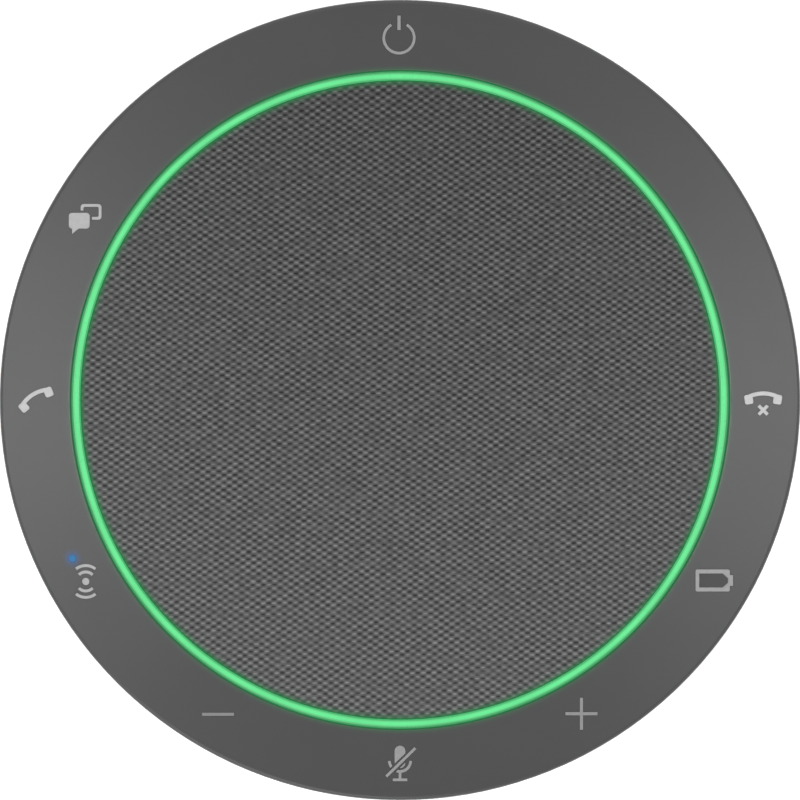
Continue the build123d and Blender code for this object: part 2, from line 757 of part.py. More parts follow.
with BuildPart() as speaker_baffle:
    with BuildSketch(Plane.XY.offset(BAFFLE_Z)):
        Circle(BAFFLE_R)
        Circle(DRIVER_HOLE_R, mode=Mode.SUBTRACT)
    extrude(amount=BAFFLE_T)
    with BuildSketch(Plane.XY.offset(POST_TOP)):
        with PolarLocations(HOUSING_SCREW_R, 4, start_angle=SCREW_ANGLE):
            Circle(POST_R)
    extrude(amount=BAFFLE_Z - POST_TOP)
    with BuildSketch(Plane.XY.offset(DRIVER_BOSS_LOW)):
        with PolarLocations(DRIVER_SCREW_R, 4, start_angle=0):
            Circle(DRIVER_BOSS_R)
    extrude(amount=BAFFLE_Z - DRIVER_BOSS_LOW)
    with BuildSketch(Plane.XY.offset(POST_TOP)):
        with PolarLocations(HOUSING_SCREW_R, 4, start_angle=SCREW_ANGLE):
            Circle(SHANK_R)
    extrude(amount=HOUSING_SCREW_TOP - POST_TOP, mode=Mode.SUBTRACT)
    with BuildSketch(Plane.XY.offset(DRIVER_BOSS_LOW)):
        with PolarLocations(DRIVER_SCREW_R, 4, start_angle=0):
            Circle(DRIVER_SHANK_R)
        with PolarLocations(BAFFLE_SCREW_R, 4, start_angle=SCREW_ANGLE):
            Circle(BAFFLE_SHANK_R)
    extrude(amount=BAFFLE_TOP - DRIVER_BOSS_LOW, mode=Mode.SUBTRACT)
    with BuildSketch(turned(BAFFLE_Z, RIBBON_ANGLE)):
        with Locations((RIBBON_R, 0)):
            Rectangle(RIBBON_SLOT_T, RIBBON_SLOT_W)
    extrude(amount=BAFFLE_T, mode=Mode.SUBTRACT)

speaker_baffle.part.label = "speaker_baffle"
export_step(speaker_baffle.part, "parts/speaker_baffle.step")

BAFFLE_HEAD_R = 1.9
BAFFLE_HEAD_H = 1.5

with BuildPart() as baffle_screws:
    with BuildSketch(Plane.XY.offset(BAFFLE_Z)):
        with PolarLocations(BAFFLE_SCREW_R, 4, start_angle=SCREW_ANGLE):
            Circle(BAFFLE_HEAD_R)
    extrude(amount=-BAFFLE_HEAD_H)
    with BuildSketch(Plane.XY.offset(BAFFLE_Z)):
        with PolarLocations(BAFFLE_SCREW_R, 4, start_angle=SCREW_ANGLE):
            Circle(BAFFLE_SHANK_R)
    extrude(amount=BAFFLE_SHANK_TOP - BAFFLE_Z)

baffle_screws.part.label = "baffle_screws"
export_step(baffle_screws.part, "parts/baffle_screws.step")

with BuildPart() as speaker_chamber:
    with BuildSketch(Plane.XY.offset(CHAMBER_LOW_Z)):
        Circle(CHAMBER_OUT_R)
    extrude(amount=BAFFLE_Z - CHAMBER_LOW_Z)
    with BuildSketch(Plane.XY.offset(CHAMBER_LOW_Z + CHAMBER_FLOOR_T)):
        Circle(CHAMBER_IN_R)
    extrude(amount=BAFFLE_Z - CHAMBER_LOW_Z - CHAMBER_FLOOR_T, mode=Mode.SUBTRACT)
    with BuildSketch(outward(CHAMBER_IN_R - OVER, LEAD_ANGLE, LEAD_Z)):
        with Locations((-LEAD_PITCH / 2, 0), (LEAD_PITCH / 2, 0)):
            Circle(LEAD_R)
    extrude(amount=CHAMBER_OUT_R - CHAMBER_IN_R + 2 * OVER, mode=Mode.SUBTRACT)

speaker_chamber.part.label = "speaker_chamber"
export_step(speaker_chamber.part, "parts/speaker_chamber.step")


# ---------------------------------------------------------------- driver
YOKE_Z = 7.0
YOKE_T = 2.5
MAGNET_T = 5.5
TOP_PLATE_T = 2.5
MAGNET_Z = YOKE_Z + YOKE_T
TOP_PLATE_Z = MAGNET_Z + MAGNET_T
BASKET_Z = TOP_PLATE_Z + TOP_PLATE_T
YOKE_R = 16.5
POLE_R = 6.1
MAGNET_IN_R = 8.5
MAGNET_OUT_R = 17.0
GAP_R = 7.6

GASKET_T = 0.5
FLANGE_T = 1.0
BASKET_R = 29.5
FLANGE_Z = BAFFLE_TOP + GASKET_T
FLANGE_TOP = FLANGE_Z + FLANGE_T

FORMER_R = 6.45
FORMER_T = 0.3
COIL_T = 0.45
COIL_LOW = 13.8
COIL_H = 4.8
FORMER_LOW = 13.5
CONE_NECK_Z = 20.6
CONE_T = 0.4
CONE_OUT_R = 20.9
RIM_W = 1.1             # flat rim of the cone

with BuildPart() as driver_yoke:
    with BuildSketch(Plane.XY.offset(YOKE_Z)):
        Circle(YOKE_R)
    extrude(amount=YOKE_T)
    with BuildSketch(Plane.XY.offset(MAGNET_Z)):
        Circle(POLE_R)
    extrude(amount=BASKET_Z - MAGNET_Z)

driver_yoke.part.label = "driver_yoke"
export_step(driver_yoke.part, "parts/driver_yoke.step")

with BuildPart() as driver_magnet:
    with BuildSketch(Plane.XY.offset(MAGNET_Z)):
        Circle(MAGNET_OUT_R)
        Circle(MAGNET_IN_R, mode=Mode.SUBTRACT)
    extrude(amount=MAGNET_T)

driver_magnet.part.label = "driver_magnet"
export_step(driver_magnet.part, "parts/driver_magnet.step")

with BuildPart() as driver_top_plate:
    with BuildSketch(Plane.XY.offset(TOP_PLATE_Z)):
        Circle(YOKE_R)
        Circle(GAP_R, mode=Mode.SUBTRACT)
    extrude(amount=TOP_PLATE_T)

driver_top_plate.part.label = "driver_top_plate"
export_step(driver_top_plate.part, "parts/driver_top_plate.step")

BASKET_LEDGE_Z = BASKET_Z + 1.8
BASKET_T = 1.0          # thickness of the basket's floor
BASKET_IN_R = 8.0
BASKET_FOOT_R = 17.5
BASKET_NECK_R = 24.2
BASKET_NECK_H = 1.2
LEDGE_IN_R = 15.0
LEDGE_OUT_R = 17.3
SEAT_IN_R = 22.9        # inner edge of the flange that the surround is glued to
SEAT_H = 0.8
BASKET_WINDOWS = 6
WINDOW_IN_R = 18.2
WINDOW_OUT_R = 22.4
WINDOW_SPAN = 38.0

with BuildPart() as driver_basket:
    with BuildSketch(Plane.XZ):
        with BuildLine():
            Polyline(
                (BASKET_IN_R, BASKET_Z),
                (BASKET_FOOT_R, BASKET_Z),
                (BASKET_NECK_R, FLANGE_Z - BASKET_NECK_H),
                (BASKET_NECK_R, FLANGE_Z),
                (BASKET_R, FLANGE_Z),
                (BASKET_R, FLANGE_TOP),
                (SEAT_IN_R, FLANGE_TOP),
                (SEAT_IN_R, FLANGE_Z - SEAT_H),
                (LEDGE_OUT_R, BASKET_LEDGE_Z),
                (LEDGE_IN_R, BASKET_LEDGE_Z),
                (LEDGE_IN_R, BASKET_Z + BASKET_T),
                (BASKET_IN_R, BASKET_Z + BASKET_T),
                close=True,
            )
        make_face()
    revolve(axis=Axis.Z)
    for index in range(BASKET_WINDOWS):
        with BuildSketch(turned(BASKET_Z, LEAD_ANGLE + index * 360 / BASKET_WINDOWS)):
            ring_part(WINDOW_IN_R, WINDOW_OUT_R, -WINDOW_SPAN / 2, WINDOW_SPAN)
        extrude(amount=FLANGE_Z - BASKET_Z, mode=Mode.SUBTRACT)
    with BuildSketch(Plane.XY.offset(FLANGE_Z)):
        with PolarLocations(DRIVER_SCREW_R, 4, start_angle=0):
            Circle(DRIVER_SHANK_R)
    extrude(amount=FLANGE_T, mode=Mode.SUBTRACT)

driver_basket.part.label = "driver_basket"
export_step(driver_basket.part, "parts/driver_basket.step")

with BuildPart() as driver_gasket:
    with BuildSketch(Plane.XY.offset(BAFFLE_TOP)):
        Circle(BASKET_R)
        Circle(DRIVER_HOLE_R, mode=Mode.SUBTRACT)
        with PolarLocations(DRIVER_SCREW_R, 4, start_angle=0):
            Circle(DRIVER_SHANK_R, mode=Mode.SUBTRACT)
    extrude(amount=GASKET_T)

driver_gasket.part.label = "driver_gasket"
export_step(driver_gasket.part, "parts/driver_gasket.step")

DRIVER_HEAD_R = 1.6
DRIVER_HEAD_H = 1.1
DRIVER_SHANK_LOW = 21.5

with BuildPart() as driver_screws:
    with BuildSketch(Plane.XY.offset(FLANGE_TOP)):
        with PolarLocations(DRIVER_SCREW_R, 4, start_angle=0):
            Circle(DRIVER_HEAD_R)
    extrude(amount=DRIVER_HEAD_H)
    with BuildSketch(Plane.XY.offset(FLANGE_TOP)):
        with PolarLocations(DRIVER_SCREW_R, 4, start_angle=0):
            Circle(DRIVER_SHANK_R)
    extrude(amount=DRIVER_SHANK_LOW - FLANGE_TOP)

driver_screws.part.label = "driver_screws"
export_step(driver_screws.part, "parts/driver_screws.step")

NECK_R = FORMER_R + FORMER_T
NECK_H = 0.8            # height of the cone's glued neck
NECK_T = 0.2
CONE_SINK = 0.3         # the cone's rim lies this far under the flange's top
CONE_LIP = 0.15
CONE_RIM_Z = FLANGE_TOP - CONE_SINK
CONE_RIM_TOP = CONE_RIM_Z + CONE_T
NECK_TOP = CONE_NECK_Z + NECK_H

with BuildPart() as driver_cone:
    with BuildSketch(Plane.XZ):
        with BuildLine():
            Polyline(
                (NECK_R, CONE_NECK_Z),
                (NECK_R + CONE_T, CONE_NECK_Z),
                (CONE_OUT_R - RIM_W + CONE_LIP, CONE_RIM_Z),
                (CONE_OUT_R, CONE_RIM_Z),
                (CONE_OUT_R, CONE_RIM_TOP),
                (CONE_OUT_R - RIM_W, CONE_RIM_TOP),
                (NECK_R + NECK_T, NECK_TOP),
                (NECK_R, NECK_TOP),
                close=True,
            )
        make_face()
    revolve(axis=Axis.Z)

driver_cone.part.label = "driver_cone"
export_step(driver_cone.part, "parts/driver_cone.step")

with BuildPart() as voice_coil:
    with BuildSketch(Plane.XY.offset(FORMER_LOW)):
        Circle(NECK_R)
        Circle(FORMER_R, mode=Mode.SUBTRACT)
    extrude(amount=NECK_TOP - FORMER_LOW)
    with BuildSketch(Plane.XY.offset(COIL_LOW)):
        Circle(NECK_R + COIL_T)
        Circle(FORMER_R, mode=Mode.SUBTRACT)
    extrude(amount=COIL_H)

voice_coil.part.label = "voice_coil"
export_step(voice_coil.part, "parts/voice_coil.step")

CAP_R = 8.6
CAP_Z = 22.3
CAP_RISE = 2.2
CAP_T = 0.35

with BuildPart() as driver_dust_cap:
    with BuildSketch(Plane.XZ):
        with BuildLine():
            crown_arc(CAP_R, CAP_Z + CAP_RISE, CAP_RISE)
            Line((CAP_R, CAP_Z), (CAP_R - CAP_T, CAP_Z))
            crown_arc(CAP_R - CAP_T, CAP_Z + CAP_RISE - CAP_T, CAP_RISE - CAP_T)
            Line((0, CAP_Z + CAP_RISE - CAP_T), (0, CAP_Z + CAP_RISE))
        make_face()
    revolve(axis=Axis.Z)

driver_dust_cap.part.label = "driver_dust_cap"
export_step(driver_dust_cap.part, "parts/driver_dust_cap.step")

ROLL_R = 22.65
ROLL_OUT = 2.05
SURROUND_T = 0.4
FOOT_W = 1.2

with BuildPart() as driver_surround:
    with BuildSketch(Plane.XY.offset(CONE_RIM_TOP)):
        Circle(CONE_OUT_R)
        Circle(CONE_OUT_R - FOOT_W, mode=Mode.SUBTRACT)
    extrude(amount=SURROUND_T)
    with BuildSketch(Plane.XY.offset(FLANGE_TOP)):
        Circle(ROLL_R + ROLL_OUT + FOOT_W)
        Circle(ROLL_R + ROLL_OUT - SURROUND_T, mode=Mode.SUBTRACT)
    extrude(amount=SURROUND_T)
    with BuildSketch(Plane.XZ):
        with BuildLine():
            CenterArc((ROLL_R, CONE_RIM_TOP), ROLL_OUT, 0, 180)
            Line((ROLL_R - ROLL_OUT, CONE_RIM_TOP), (ROLL_R - ROLL_OUT + SURROUND_T, CONE_RIM_TOP))
            CenterArc((ROLL_R, CONE_RIM_TOP), ROLL_OUT - SURROUND_T, 180, -180)
            Line((ROLL_R + ROLL_OUT - SURROUND_T, CONE_RIM_TOP), (ROLL_R + ROLL_OUT, CONE_RIM_TOP))
        make_face()
    revolve(axis=Axis.Z)

driver_surround.part.label = "driver_surround"
export_step(driver_surround.part, "parts/driver_surround.step")

SPIDER_GLUE = 0.05
SPIDER_IN_R = NECK_R + SPIDER_GLUE
SPIDER_WAVE_R = 15.0    # outer end of its waves
SPIDER_OUT_R = 16.8
SPIDER_T = 0.3
SPIDER_WAVES = 6
SPIDER_DEPTH = 0.5

with BuildPart() as driver_spider:
    with BuildSketch(Plane.XZ):
        pitch = (SPIDER_WAVE_R - SPIDER_IN_R) / SPIDER_WAVES
        crests = [
            (SPIDER_IN_R + index * pitch / 2, BASKET_LEDGE_Z + (SPIDER_DEPTH if index % 2 else 0.0))
            for index in range(2 * SPIDER_WAVES + 1)
        ]
        low = crests + [(SPIDER_OUT_R, BASKET_LEDGE_Z)]
        high = [(r, z + SPIDER_T) for r, z in reversed(low)]
        with BuildLine():
            Polyline(*low, *high, close=True)
        make_face()
    revolve(axis=Axis.Z)

driver_spider.part.label = "driver_spider"
export_step(driver_spider.part, "parts/driver_spider.step")


# ---------------------------------------------------------------- main board and connectors
MAIN_IN_R = 33.0
MAIN_OUT_R = 55.3
MAIN_SPAN = 162.0
BOARD_CLEAR = 0.5       # round the housing posts that pass the board
BOARD_HEAD_R = 1.8
BOARD_HEAD_H = 0.9
BOARD_SCREW_LOW = 11.0
TAB_W = 14.0
TAB_Y = 56.3
CHIPS = [               # radius, angle, width, depth, height
    (42.5, 101.0, 7.0, 7.0, 1.0),
    (42.0, 82.0, 5.0, 5.0, 0.9),
    (49.5, 114.0, 5.0, 5.0, 0.9),
    (49.0, 148.0, 6.0, 5.0, 1.8),
    (40.0, 148.0, 4.0, 4.0, 0.8),
    (50.0, 74.0, 3.0, 4.5, 0.7),
    (38.5, 52.0, 4.0, 3.0, 1.2),
    (50.0, 36.0, 7.0, 3.0, 2.0),
    (42.0, 168.0, 5.0, 4.0, 1.0),
]
SPEAKER_SOCKET = (38.0, 8.0, 4.0)   # radius, width, depth
SOCKET_H = 4.0
BATTERY_SOCKET = (47.5, 13.2)       # plan position of its centre
BATTERY_SOCKET_W = 5.0
BATTERY_SOCKET_D = 4.4
RIBBON_W = 12.0
RIBBON_T = 0.3
RIBBON_SOCKET_W = 14.0
RIBBON_SOCKET_T = 2.4
RIBBON_SOCKET_H = 1.6

with BuildPart() as main_board:
    with BuildSketch(Plane.XY.offset(MAIN_BOARD_Z)):
        ring_part(MAIN_IN_R, MAIN_OUT_R, 90 - MAIN_SPAN / 2, MAIN_SPAN)
        with Locations((0, TAB_Y - TAB_W / 2)):
            Rectangle(TAB_W, TAB_W)
        with PolarLocations(HOUSING_SCREW_R, 4, start_angle=SCREW_ANGLE):
            Circle(POST_R + BOARD_CLEAR, mode=Mode.SUBTRACT)
        with Locations(*[polar(r, a) for r, a in BOARD_POSTS]):
            Circle(BOARD_SCREW_R, mode=Mode.SUBTRACT)
    extrude(amount=MAIN_BOARD_T)

main_board.part.label = "main_board"
export_step(main_board.part, "parts/main_board.step")

with BuildPart() as board_screws:
    with BuildSketch(Plane.XY.offset(MAIN_BOARD_TOP)):
        with Locations(*[polar(r, a) for r, a in BOARD_POSTS]):
            Circle(BOARD_HEAD_R)
    extrude(amount=BOARD_HEAD_H)
    with BuildSketch(Plane.XY.offset(MAIN_BOARD_TOP)):
        with Locations(*[polar(r, a) for r, a in BOARD_POSTS]):
            Circle(BOARD_SCREW_R)
    extrude(amount=BOARD_SCREW_LOW - MAIN_BOARD_TOP)

board_screws.part.label = "board_screws"
export_step(board_screws.part, "parts/board_screws.step")

with BuildPart() as board_chips:
    for radius, angle, width, depth, height in CHIPS:
        with BuildSketch(turned(MAIN_BOARD_TOP, angle)):
            with Locations((radius, 0)):
                Rectangle(depth, width)
        extrude(amount=height)

board_chips.part.label = "board_chips"
export_step(board_chips.part, "parts/board_chips.step")

with BuildPart() as board_connectors:
    with BuildSketch(turned(MAIN_BOARD_TOP, LEAD_ANGLE)):
        with Locations((SPEAKER_SOCKET[0], 0)):
            Rectangle(SPEAKER_SOCKET[2], SPEAKER_SOCKET[1])
    extrude(amount=SOCKET_H)
    with BuildSketch(Plane.XY.offset(MAIN_BOARD_TOP)):
        with Locations(BATTERY_SOCKET):
            Rectangle(BATTERY_SOCKET_W, BATTERY_SOCKET_D)
    extrude(amount=SOCKET_H)
    with BuildSketch(turned(MAIN_BOARD_TOP, RIBBON_ANGLE)):
        with Locations((RIBBON_R, 0)):
            Rectangle(RIBBON_SOCKET_T, RIBBON_SOCKET_W)
    extrude(amount=RIBBON_SOCKET_H)
    with BuildSketch(turned(BAFFLE_TOP, RIBBON_ANGLE)):
        with Locations((RIBBON_R, 0)):
            Rectangle(RIBBON_SOCKET_T, RIBBON_SOCKET_W)
    extrude(amount=-RIBBON_SOCKET_H)

board_connectors.part.label = "board_connectors"
export_step(board_connectors.part, "parts/board_connectors.step")

RIBBON_LOW = MAIN_BOARD_TOP + RIBBON_SOCKET_H
RIBBON_HIGH = BAFFLE_TOP - RIBBON_SOCKET_H

with BuildPart() as ribbon_cable:
    with BuildSketch(turned(RIBBON_LOW, RIBBON_ANGLE)):
        with Locations((RIBBON_R, 0)):
            Rectangle(RIBBON_T, RIBBON_W)
    extrude(amount=RIBBON_HIGH - RIBBON_LOW)

ribbon_cable.part.label = "ribbon_cable"
export_step(ribbon_cable.part, "parts/ribbon_cable.step")

LEAD_START_R = 23.5
LEAD_END_R = SPEAKER_SOCKET[0] - SPEAKER_SOCKET[2] / 2

with BuildPart() as speaker_leads:
    with BuildSketch(outward(LEAD_START_R, LEAD_ANGLE, LEAD_Z)):
        with Locations((-LEAD_PITCH / 2, 0), (LEAD_PITCH / 2, 0)):
            Circle(LEAD_R)
    extrude(amount=LEAD_END_R - LEAD_START_R)

speaker_leads.part.label = "speaker_leads"
export_step(speaker_leads.part, "parts/speaker_leads.step")

TONGUE_W = 6.7
TONGUE_T = 0.7
TONGUE_SINK = 1.0       # from the shell's mouth to the tongue's tip
SHELL_R = 1.53
SHELL_WALL_Y = 1.2      # closed back of the socket shell

with BuildPart() as usb_shell:
    with BuildSketch(outward(SHELL_BACK_Y, 90, PORT_Z)):
        RectangleRounded(SHELL_W, SHELL_H, SHELL_R)
    extrude(amount=SHELL_MOUTH_Y - SHELL_BACK_Y)
    with BuildSketch(outward(SHELL_BACK_Y + SHELL_WALL_Y, 90, PORT_Z)):
        RectangleRounded(SHELL_W - 2 * SHELL_T, SHELL_H - 2 * SHELL_T, SHELL_R - SHELL_T)
    extrude(amount=SHELL_MOUTH_Y - SHELL_BACK_Y - SHELL_WALL_Y, mode=Mode.SUBTRACT)

usb_shell.part.label = "usb_shell"
export_step(usb_shell.part, "parts/usb_shell.step")

with BuildPart() as usb_tongue:
    with BuildSketch(outward(SHELL_BACK_Y + SHELL_WALL_Y, 90, PORT_Z)):
        Rectangle(TONGUE_W, TONGUE_T)
    extrude(amount=SHELL_MOUTH_Y - SHELL_BACK_Y - SHELL_WALL_Y - TONGUE_SINK)

usb_tongue.part.label = "usb_tongue"
export_step(usb_tongue.part, "parts/usb_tongue.step")


# ---------------------------------------------------------------- battery
CELL_LONG = 39.0
CELL_DEEP = 15.0
CELL_THICK = 10.0
CELL_Y = -40.5
CELL_LOW = 11.0
TRAY_T = 1.2
TRAY_WALL_TOP = 16.0
TRAY_FOOT = (4.0, 8.0)
TRAY_FOOT_X = 13.0
CELL_FILLET = 2.0

with BuildPart() as battery_cell:
    end_centre = (-CELL_LONG / 2, CELL_Y, CELL_LOW + CELL_THICK / 2)
    with BuildSketch(Plane(origin=end_centre, x_dir=(0, 1, 0), z_dir=(1, 0, 0))):
        RectangleRounded(CELL_DEEP, CELL_THICK, CELL_FILLET)
    extrude(amount=CELL_LONG)

battery_cell.part.label = "battery_cell"
export_step(battery_cell.part, "parts/battery_cell.step")

with BuildPart() as battery_tray:
    with BuildSketch(Plane.XY.offset(CELL_LOW - TRAY_T)):
        with Locations((0, CELL_Y)):
            Rectangle(CELL_LONG + 2 * TRAY_T, CELL_DEEP + 2 * TRAY_T)
    extrude(amount=TRAY_WALL_TOP - CELL_LOW + TRAY_T)
    with BuildSketch(Plane.XY.offset(CELL_LOW)):
        with Locations((0, CELL_Y)):
            Rectangle(CELL_LONG, CELL_DEEP)
    extrude(amount=TRAY_WALL_TOP - CELL_LOW, mode=Mode.SUBTRACT)
    with BuildSketch(Plane.XY.offset(FLOOR_Z)):
        with Locations((-TRAY_FOOT_X, CELL_Y), (TRAY_FOOT_X, CELL_Y)):
            Rectangle(*TRAY_FOOT)
    extrude(amount=CELL_LOW - TRAY_T - FLOOR_Z)

battery_tray.part.label = "battery_tray"
export_step(battery_tray.part, "parts/battery_tray.step")

WIRE_R = 0.65
WIRE_PITCH = 1.5
WIRE_Z = 18.0
WIRE_RISE = 1.2
WIRE_ROUTE = [
    (CELL_LONG / 2, -40.0, WIRE_Z),
    (31.0, -40.0, WIRE_Z),
    (45.0, -24.0, WIRE_Z + WIRE_RISE / 2),
    (BATTERY_SOCKET[0], -5.0, WIRE_Z + WIRE_RISE),
    (BATTERY_SOCKET[0], BATTERY_SOCKET[1] - BATTERY_SOCKET_D / 2, WIRE_Z + WIRE_RISE),
]


def bend_radii(route):
    """Radius of each bend: 0.45 of the shorter run over the tangent of half the turn."""
    radii = []
    for before, corner, after in zip(route, route[1:], route[2:]):
        arriving = Vector(*corner) - Vector(*before)
        leaving = Vector(*after) - Vector(*corner)
        half_turn = radians(arriving.get_angle(leaving)) / 2
        shorter = min(arriving.length, leaving.length)
        radii.append(0.45 * shorter * cos(half_turn) / sin(half_turn))
    return radii


WIRE_RADII = bend_radii(WIRE_ROUTE)
print("battery lead bends", [round(radius, 1) for radius in WIRE_RADII])

with BuildPart() as battery_leads:
    for lift in (0.0, WIRE_PITCH):
        with BuildLine() as path:
            FilletPolyline(*[(x, y, z + lift) for x, y, z in WIRE_ROUTE], radius=WIRE_RADII)
        with BuildSketch(Plane(origin=path.line @ 0, z_dir=path.line % 0)):
            Circle(WIRE_R)
        sweep(path=path.line)

battery_leads.part.label = "battery_leads"
export_step(battery_leads.part, "parts/battery_leads.step")


# ---------------------------------------------------------------- microphones
MIC_R = 1.8
MIC_T = 1.4
MIC_IN_R = 56.2
BOOT_R = 2.7
BOOT_IN_R = 55.4

with BuildPart() as housing_side:
    with BuildSketch(Plane.XZ):
        with BuildLine():
            side_arc(SPLIT_Z + SEAL_T, WAIST_Z, WALL)
            Polyline(
                (side_radius(WAIST_Z, WALL), WAIST_Z),
                (OUTER_R + OVER, WAIST_Z),
                (OUTER_R + OVER, SPLIT_Z + SEAL_T),
                (side_radius(SPLIT_Z + SEAL_T, WALL), SPLIT_Z + SEAL_T),
            )
        make_face()
    revolve(axis=Axis.Z)

with BuildPart() as mic_boots:
    for angle in MIC_ANGLES:
        with BuildSketch(outward(BOOT_IN_R, angle, MIC_Z)):
            Circle(BOOT_R)
        extrude(amount=OUTER_R - BOOT_IN_R)
    add(housing_side.part, mode=Mode.SUBTRACT)
    for angle in MIC_ANGLES:
        with BuildSketch(outward(BOOT_IN_R, angle, MIC_Z)):
            Circle(MIC_R)
        extrude(amount=MIC_IN_R + MIC_T - BOOT_IN_R, mode=Mode.SUBTRACT)
        with BuildSketch(outward(BOOT_IN_R, angle, MIC_Z)):
            Circle(MIC_PORT_R)
        extrude(amount=OUTER_R - BOOT_IN_R, mode=Mode.SUBTRACT)

mic_boots.part.label = "mic_boots"
export_step(mic_boots.part, "parts/mic_boots.step")

with BuildPart() as mic_capsules:
    for angle in MIC_ANGLES:
        with BuildSketch(outward(MIC_IN_R, angle, MIC_Z)):
            Circle(MIC_R)
        extrude(amount=MIC_T)

mic_capsules.part.label = "mic_capsules"
export_step(mic_capsules.part, "parts/mic_capsules.step")
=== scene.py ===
import json
import math

import bmesh
import bpy
import numpy as np
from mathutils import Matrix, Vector


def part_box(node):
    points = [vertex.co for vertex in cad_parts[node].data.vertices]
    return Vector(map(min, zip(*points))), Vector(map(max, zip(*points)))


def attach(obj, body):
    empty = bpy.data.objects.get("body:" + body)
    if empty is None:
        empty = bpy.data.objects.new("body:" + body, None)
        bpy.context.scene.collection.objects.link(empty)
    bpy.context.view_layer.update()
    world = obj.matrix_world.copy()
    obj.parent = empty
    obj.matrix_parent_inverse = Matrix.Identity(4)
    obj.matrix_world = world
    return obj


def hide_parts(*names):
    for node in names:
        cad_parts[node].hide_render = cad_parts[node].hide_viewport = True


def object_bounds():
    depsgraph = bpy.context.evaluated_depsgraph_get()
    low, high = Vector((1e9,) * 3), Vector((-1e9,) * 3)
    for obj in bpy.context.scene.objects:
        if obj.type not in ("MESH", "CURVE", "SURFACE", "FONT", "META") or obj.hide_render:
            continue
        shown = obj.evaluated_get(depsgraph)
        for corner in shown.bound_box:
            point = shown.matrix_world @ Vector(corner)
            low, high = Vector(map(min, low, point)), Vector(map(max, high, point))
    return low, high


# Conference speakerphone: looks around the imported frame.  Metres, +Z up, the user at -Y.
MM = 0.001

# ---------------------------------------------------------------- camera, room and lamps
CAMERA_DISTANCE = 3.0       # above the lower edge of the key skin, where the disc is widest
SENSOR_WIDTH = 36.0         # millimetres, as the lens's length is
VIEW_END = 20.0
HORIZON_LIGHT = 1.0         # strength of the surrounding near the horizon
ZENITH_LIGHT = 0.22         # and overhead
LIGHT_FALL = (0.25, 0.95)   # it falls between these upward parts of a unit direction
FLOOR_HALF = 3.0
FLOOR_TONE = (0.85, 0.87)
FLOOR_ROUGH = 0.6
FLOOR_GLOW = 0.5
LIGHT_DISTANCE = 1.3
SOFT_BOXES = [              # name, azimuth and angle from the zenith in degrees, size, watts
    ("left_box", 180.0, 26.0, (0.4, 0.5), 4.8),
    ("right_box", 0.0, 26.0, (0.4, 0.5), 4.55),
    ("front_box", 250.0, 48.0, (0.8, 0.5), 3.2),
    ("back_box", 85.0, 40.0, (0.8, 0.5), 1.35),
]

# ---------------------------------------------------------------- lit parts, and the painted glow and shade beside them
RING_COLOUR = (0.02, 0.08, 0.035)
RING_GLOW = (0.111, 0.73, 0.25)
RING_SHIFT = 0.06 * MM      # how far inside the ring's middle line its light peaks
PEAK_HALF = 0.1 * MM        # half width of the peak
FALL_PAST = 0.35 * MM       # the fall from the peak ends this far past the ring's outer edge
EDGE_GLOW = 0.2             # emission where the fall ends, over the peak's
SIDE_GLOW = 0.35            # emission of the ring's hidden sides, over the peak's
SIDE_DEPTHS = (0.6 * MM, 0.3 * MM)      # the sides' light fades out between these depths
TOP_SLICE = 0.01 * MM       # corners this close to the ring's highest point are its flat top
LAMPS = 24
LAMP_RIPPLE = (0.96, 1.04)
STATUS_GLOW = (0.03, 0.17, 0.37)
STATUS_SPECULAR = 0.25
PAINTED_RING_SPILL = (0.008, 0.115, 0.034)       # painted glow: emission on the skin beside the ring, in place of the ring's light falling on it
PAINTED_LENS_SPILL = (0.0, 0.06, 0.20)         # and painted glow on the skin beside the status lens
CLOTH_PAINTED_SPILL_GAIN = 1.5            # the cloth's painted glow beside the ring is this many times the skin's
SKIN_REACH = 1.1 * MM       # how far the ring's painted glow and painted shade reach over the skin
LENS_REACH = 1.25 * MM      # how far the lens's painted glow and painted shade reach over the skin
CLOTH_REACH = 1.3 * MM      # how far the ring's painted glow and painted shade reach over the cloth
SKIN_PAINTED_SHADE = 0.5            # painted shade: how much darker the skin's colour is made beside a lit part
CLOTH_PAINTED_SHADE = 0.95          # and the cloth's painted shade

# ---------------------------------------------------------------- skin and legends
SKIN_COLOUR = (0.053, 0.053, 0.054)
SKIN_ROUGH = (0.32, 0.34)
SKIN_GRAIN = 0.004 * MM
LEGEND_LEVEL = 0.255        # grey of a legend, where LEGEND_LEVELS has none for it
LEGEND_LEVELS = {
    "answer": 0.465,
    "battery": 0.285,
    "end_call": 0.49,
    "meeting": 0.38,
    "volume_down": 0.195,
    "volume_up": 0.23,
    "wireless": 0.37,
}
LEGEND_BLUE = 1.01

# ---------------------------------------------------------------- grille cloth
ACROSS = (1213.0, -41.0)    # half turns of the weave per metre: across the cloth for x and y
ALONG = (49.0, -1777.0)     # and along it
COLUMNS_PER_TURN = 6        # mesh columns and rows in a whole turn of the pattern
ROWS_PER_TURN = 4
RELIEF = 0.1 * MM           # height of the knots over the cloth's mean surface
DOME_DROP = 0.9 * MM        # fall of the cloth from its crown to its edge
HEM_R = 0.35 * MM           # rounding where the cloth folds down into the gap
HEM_STEPS = 3
PLAIN = 0.9 * MM            # smooth strip between the relief and the hem
FADE = 0.8 * MM             # the relief fades out over this width, just before that strip
GREY_YARN = (0.158, 0.158, 0.16)
DARK_YARN = (0.002, 0.002, 0.0021)
YARN_SPREAD = (0.8, 1.2)    # fibres of the grey yarn, darkest and lightest
DARK_SPREAD = (0.85, 1.15)  # patches of the dark yarn
YARN_RANGE = (-1.0, 1.0)    # pattern heights of a wholly dark and a wholly grey place
YARN_GAMMA = 1.45
NARROWING = 0.85            # how much of a knot's height thins out towards its ends
SLUB_GAIN = (0.55, 1.55)    # contrast of thin and thick yarn, over the mean
KNOT_OFFSET = 0.2           # how far the pattern's height strays either way
FIBRES = (1400.0, 9000.0, 1400.0)       # features to the metre along x, y and z
SLUBS = (260.0, 1500.0, 260.0)
FIBRE_RELIEF = 0.06 * MM
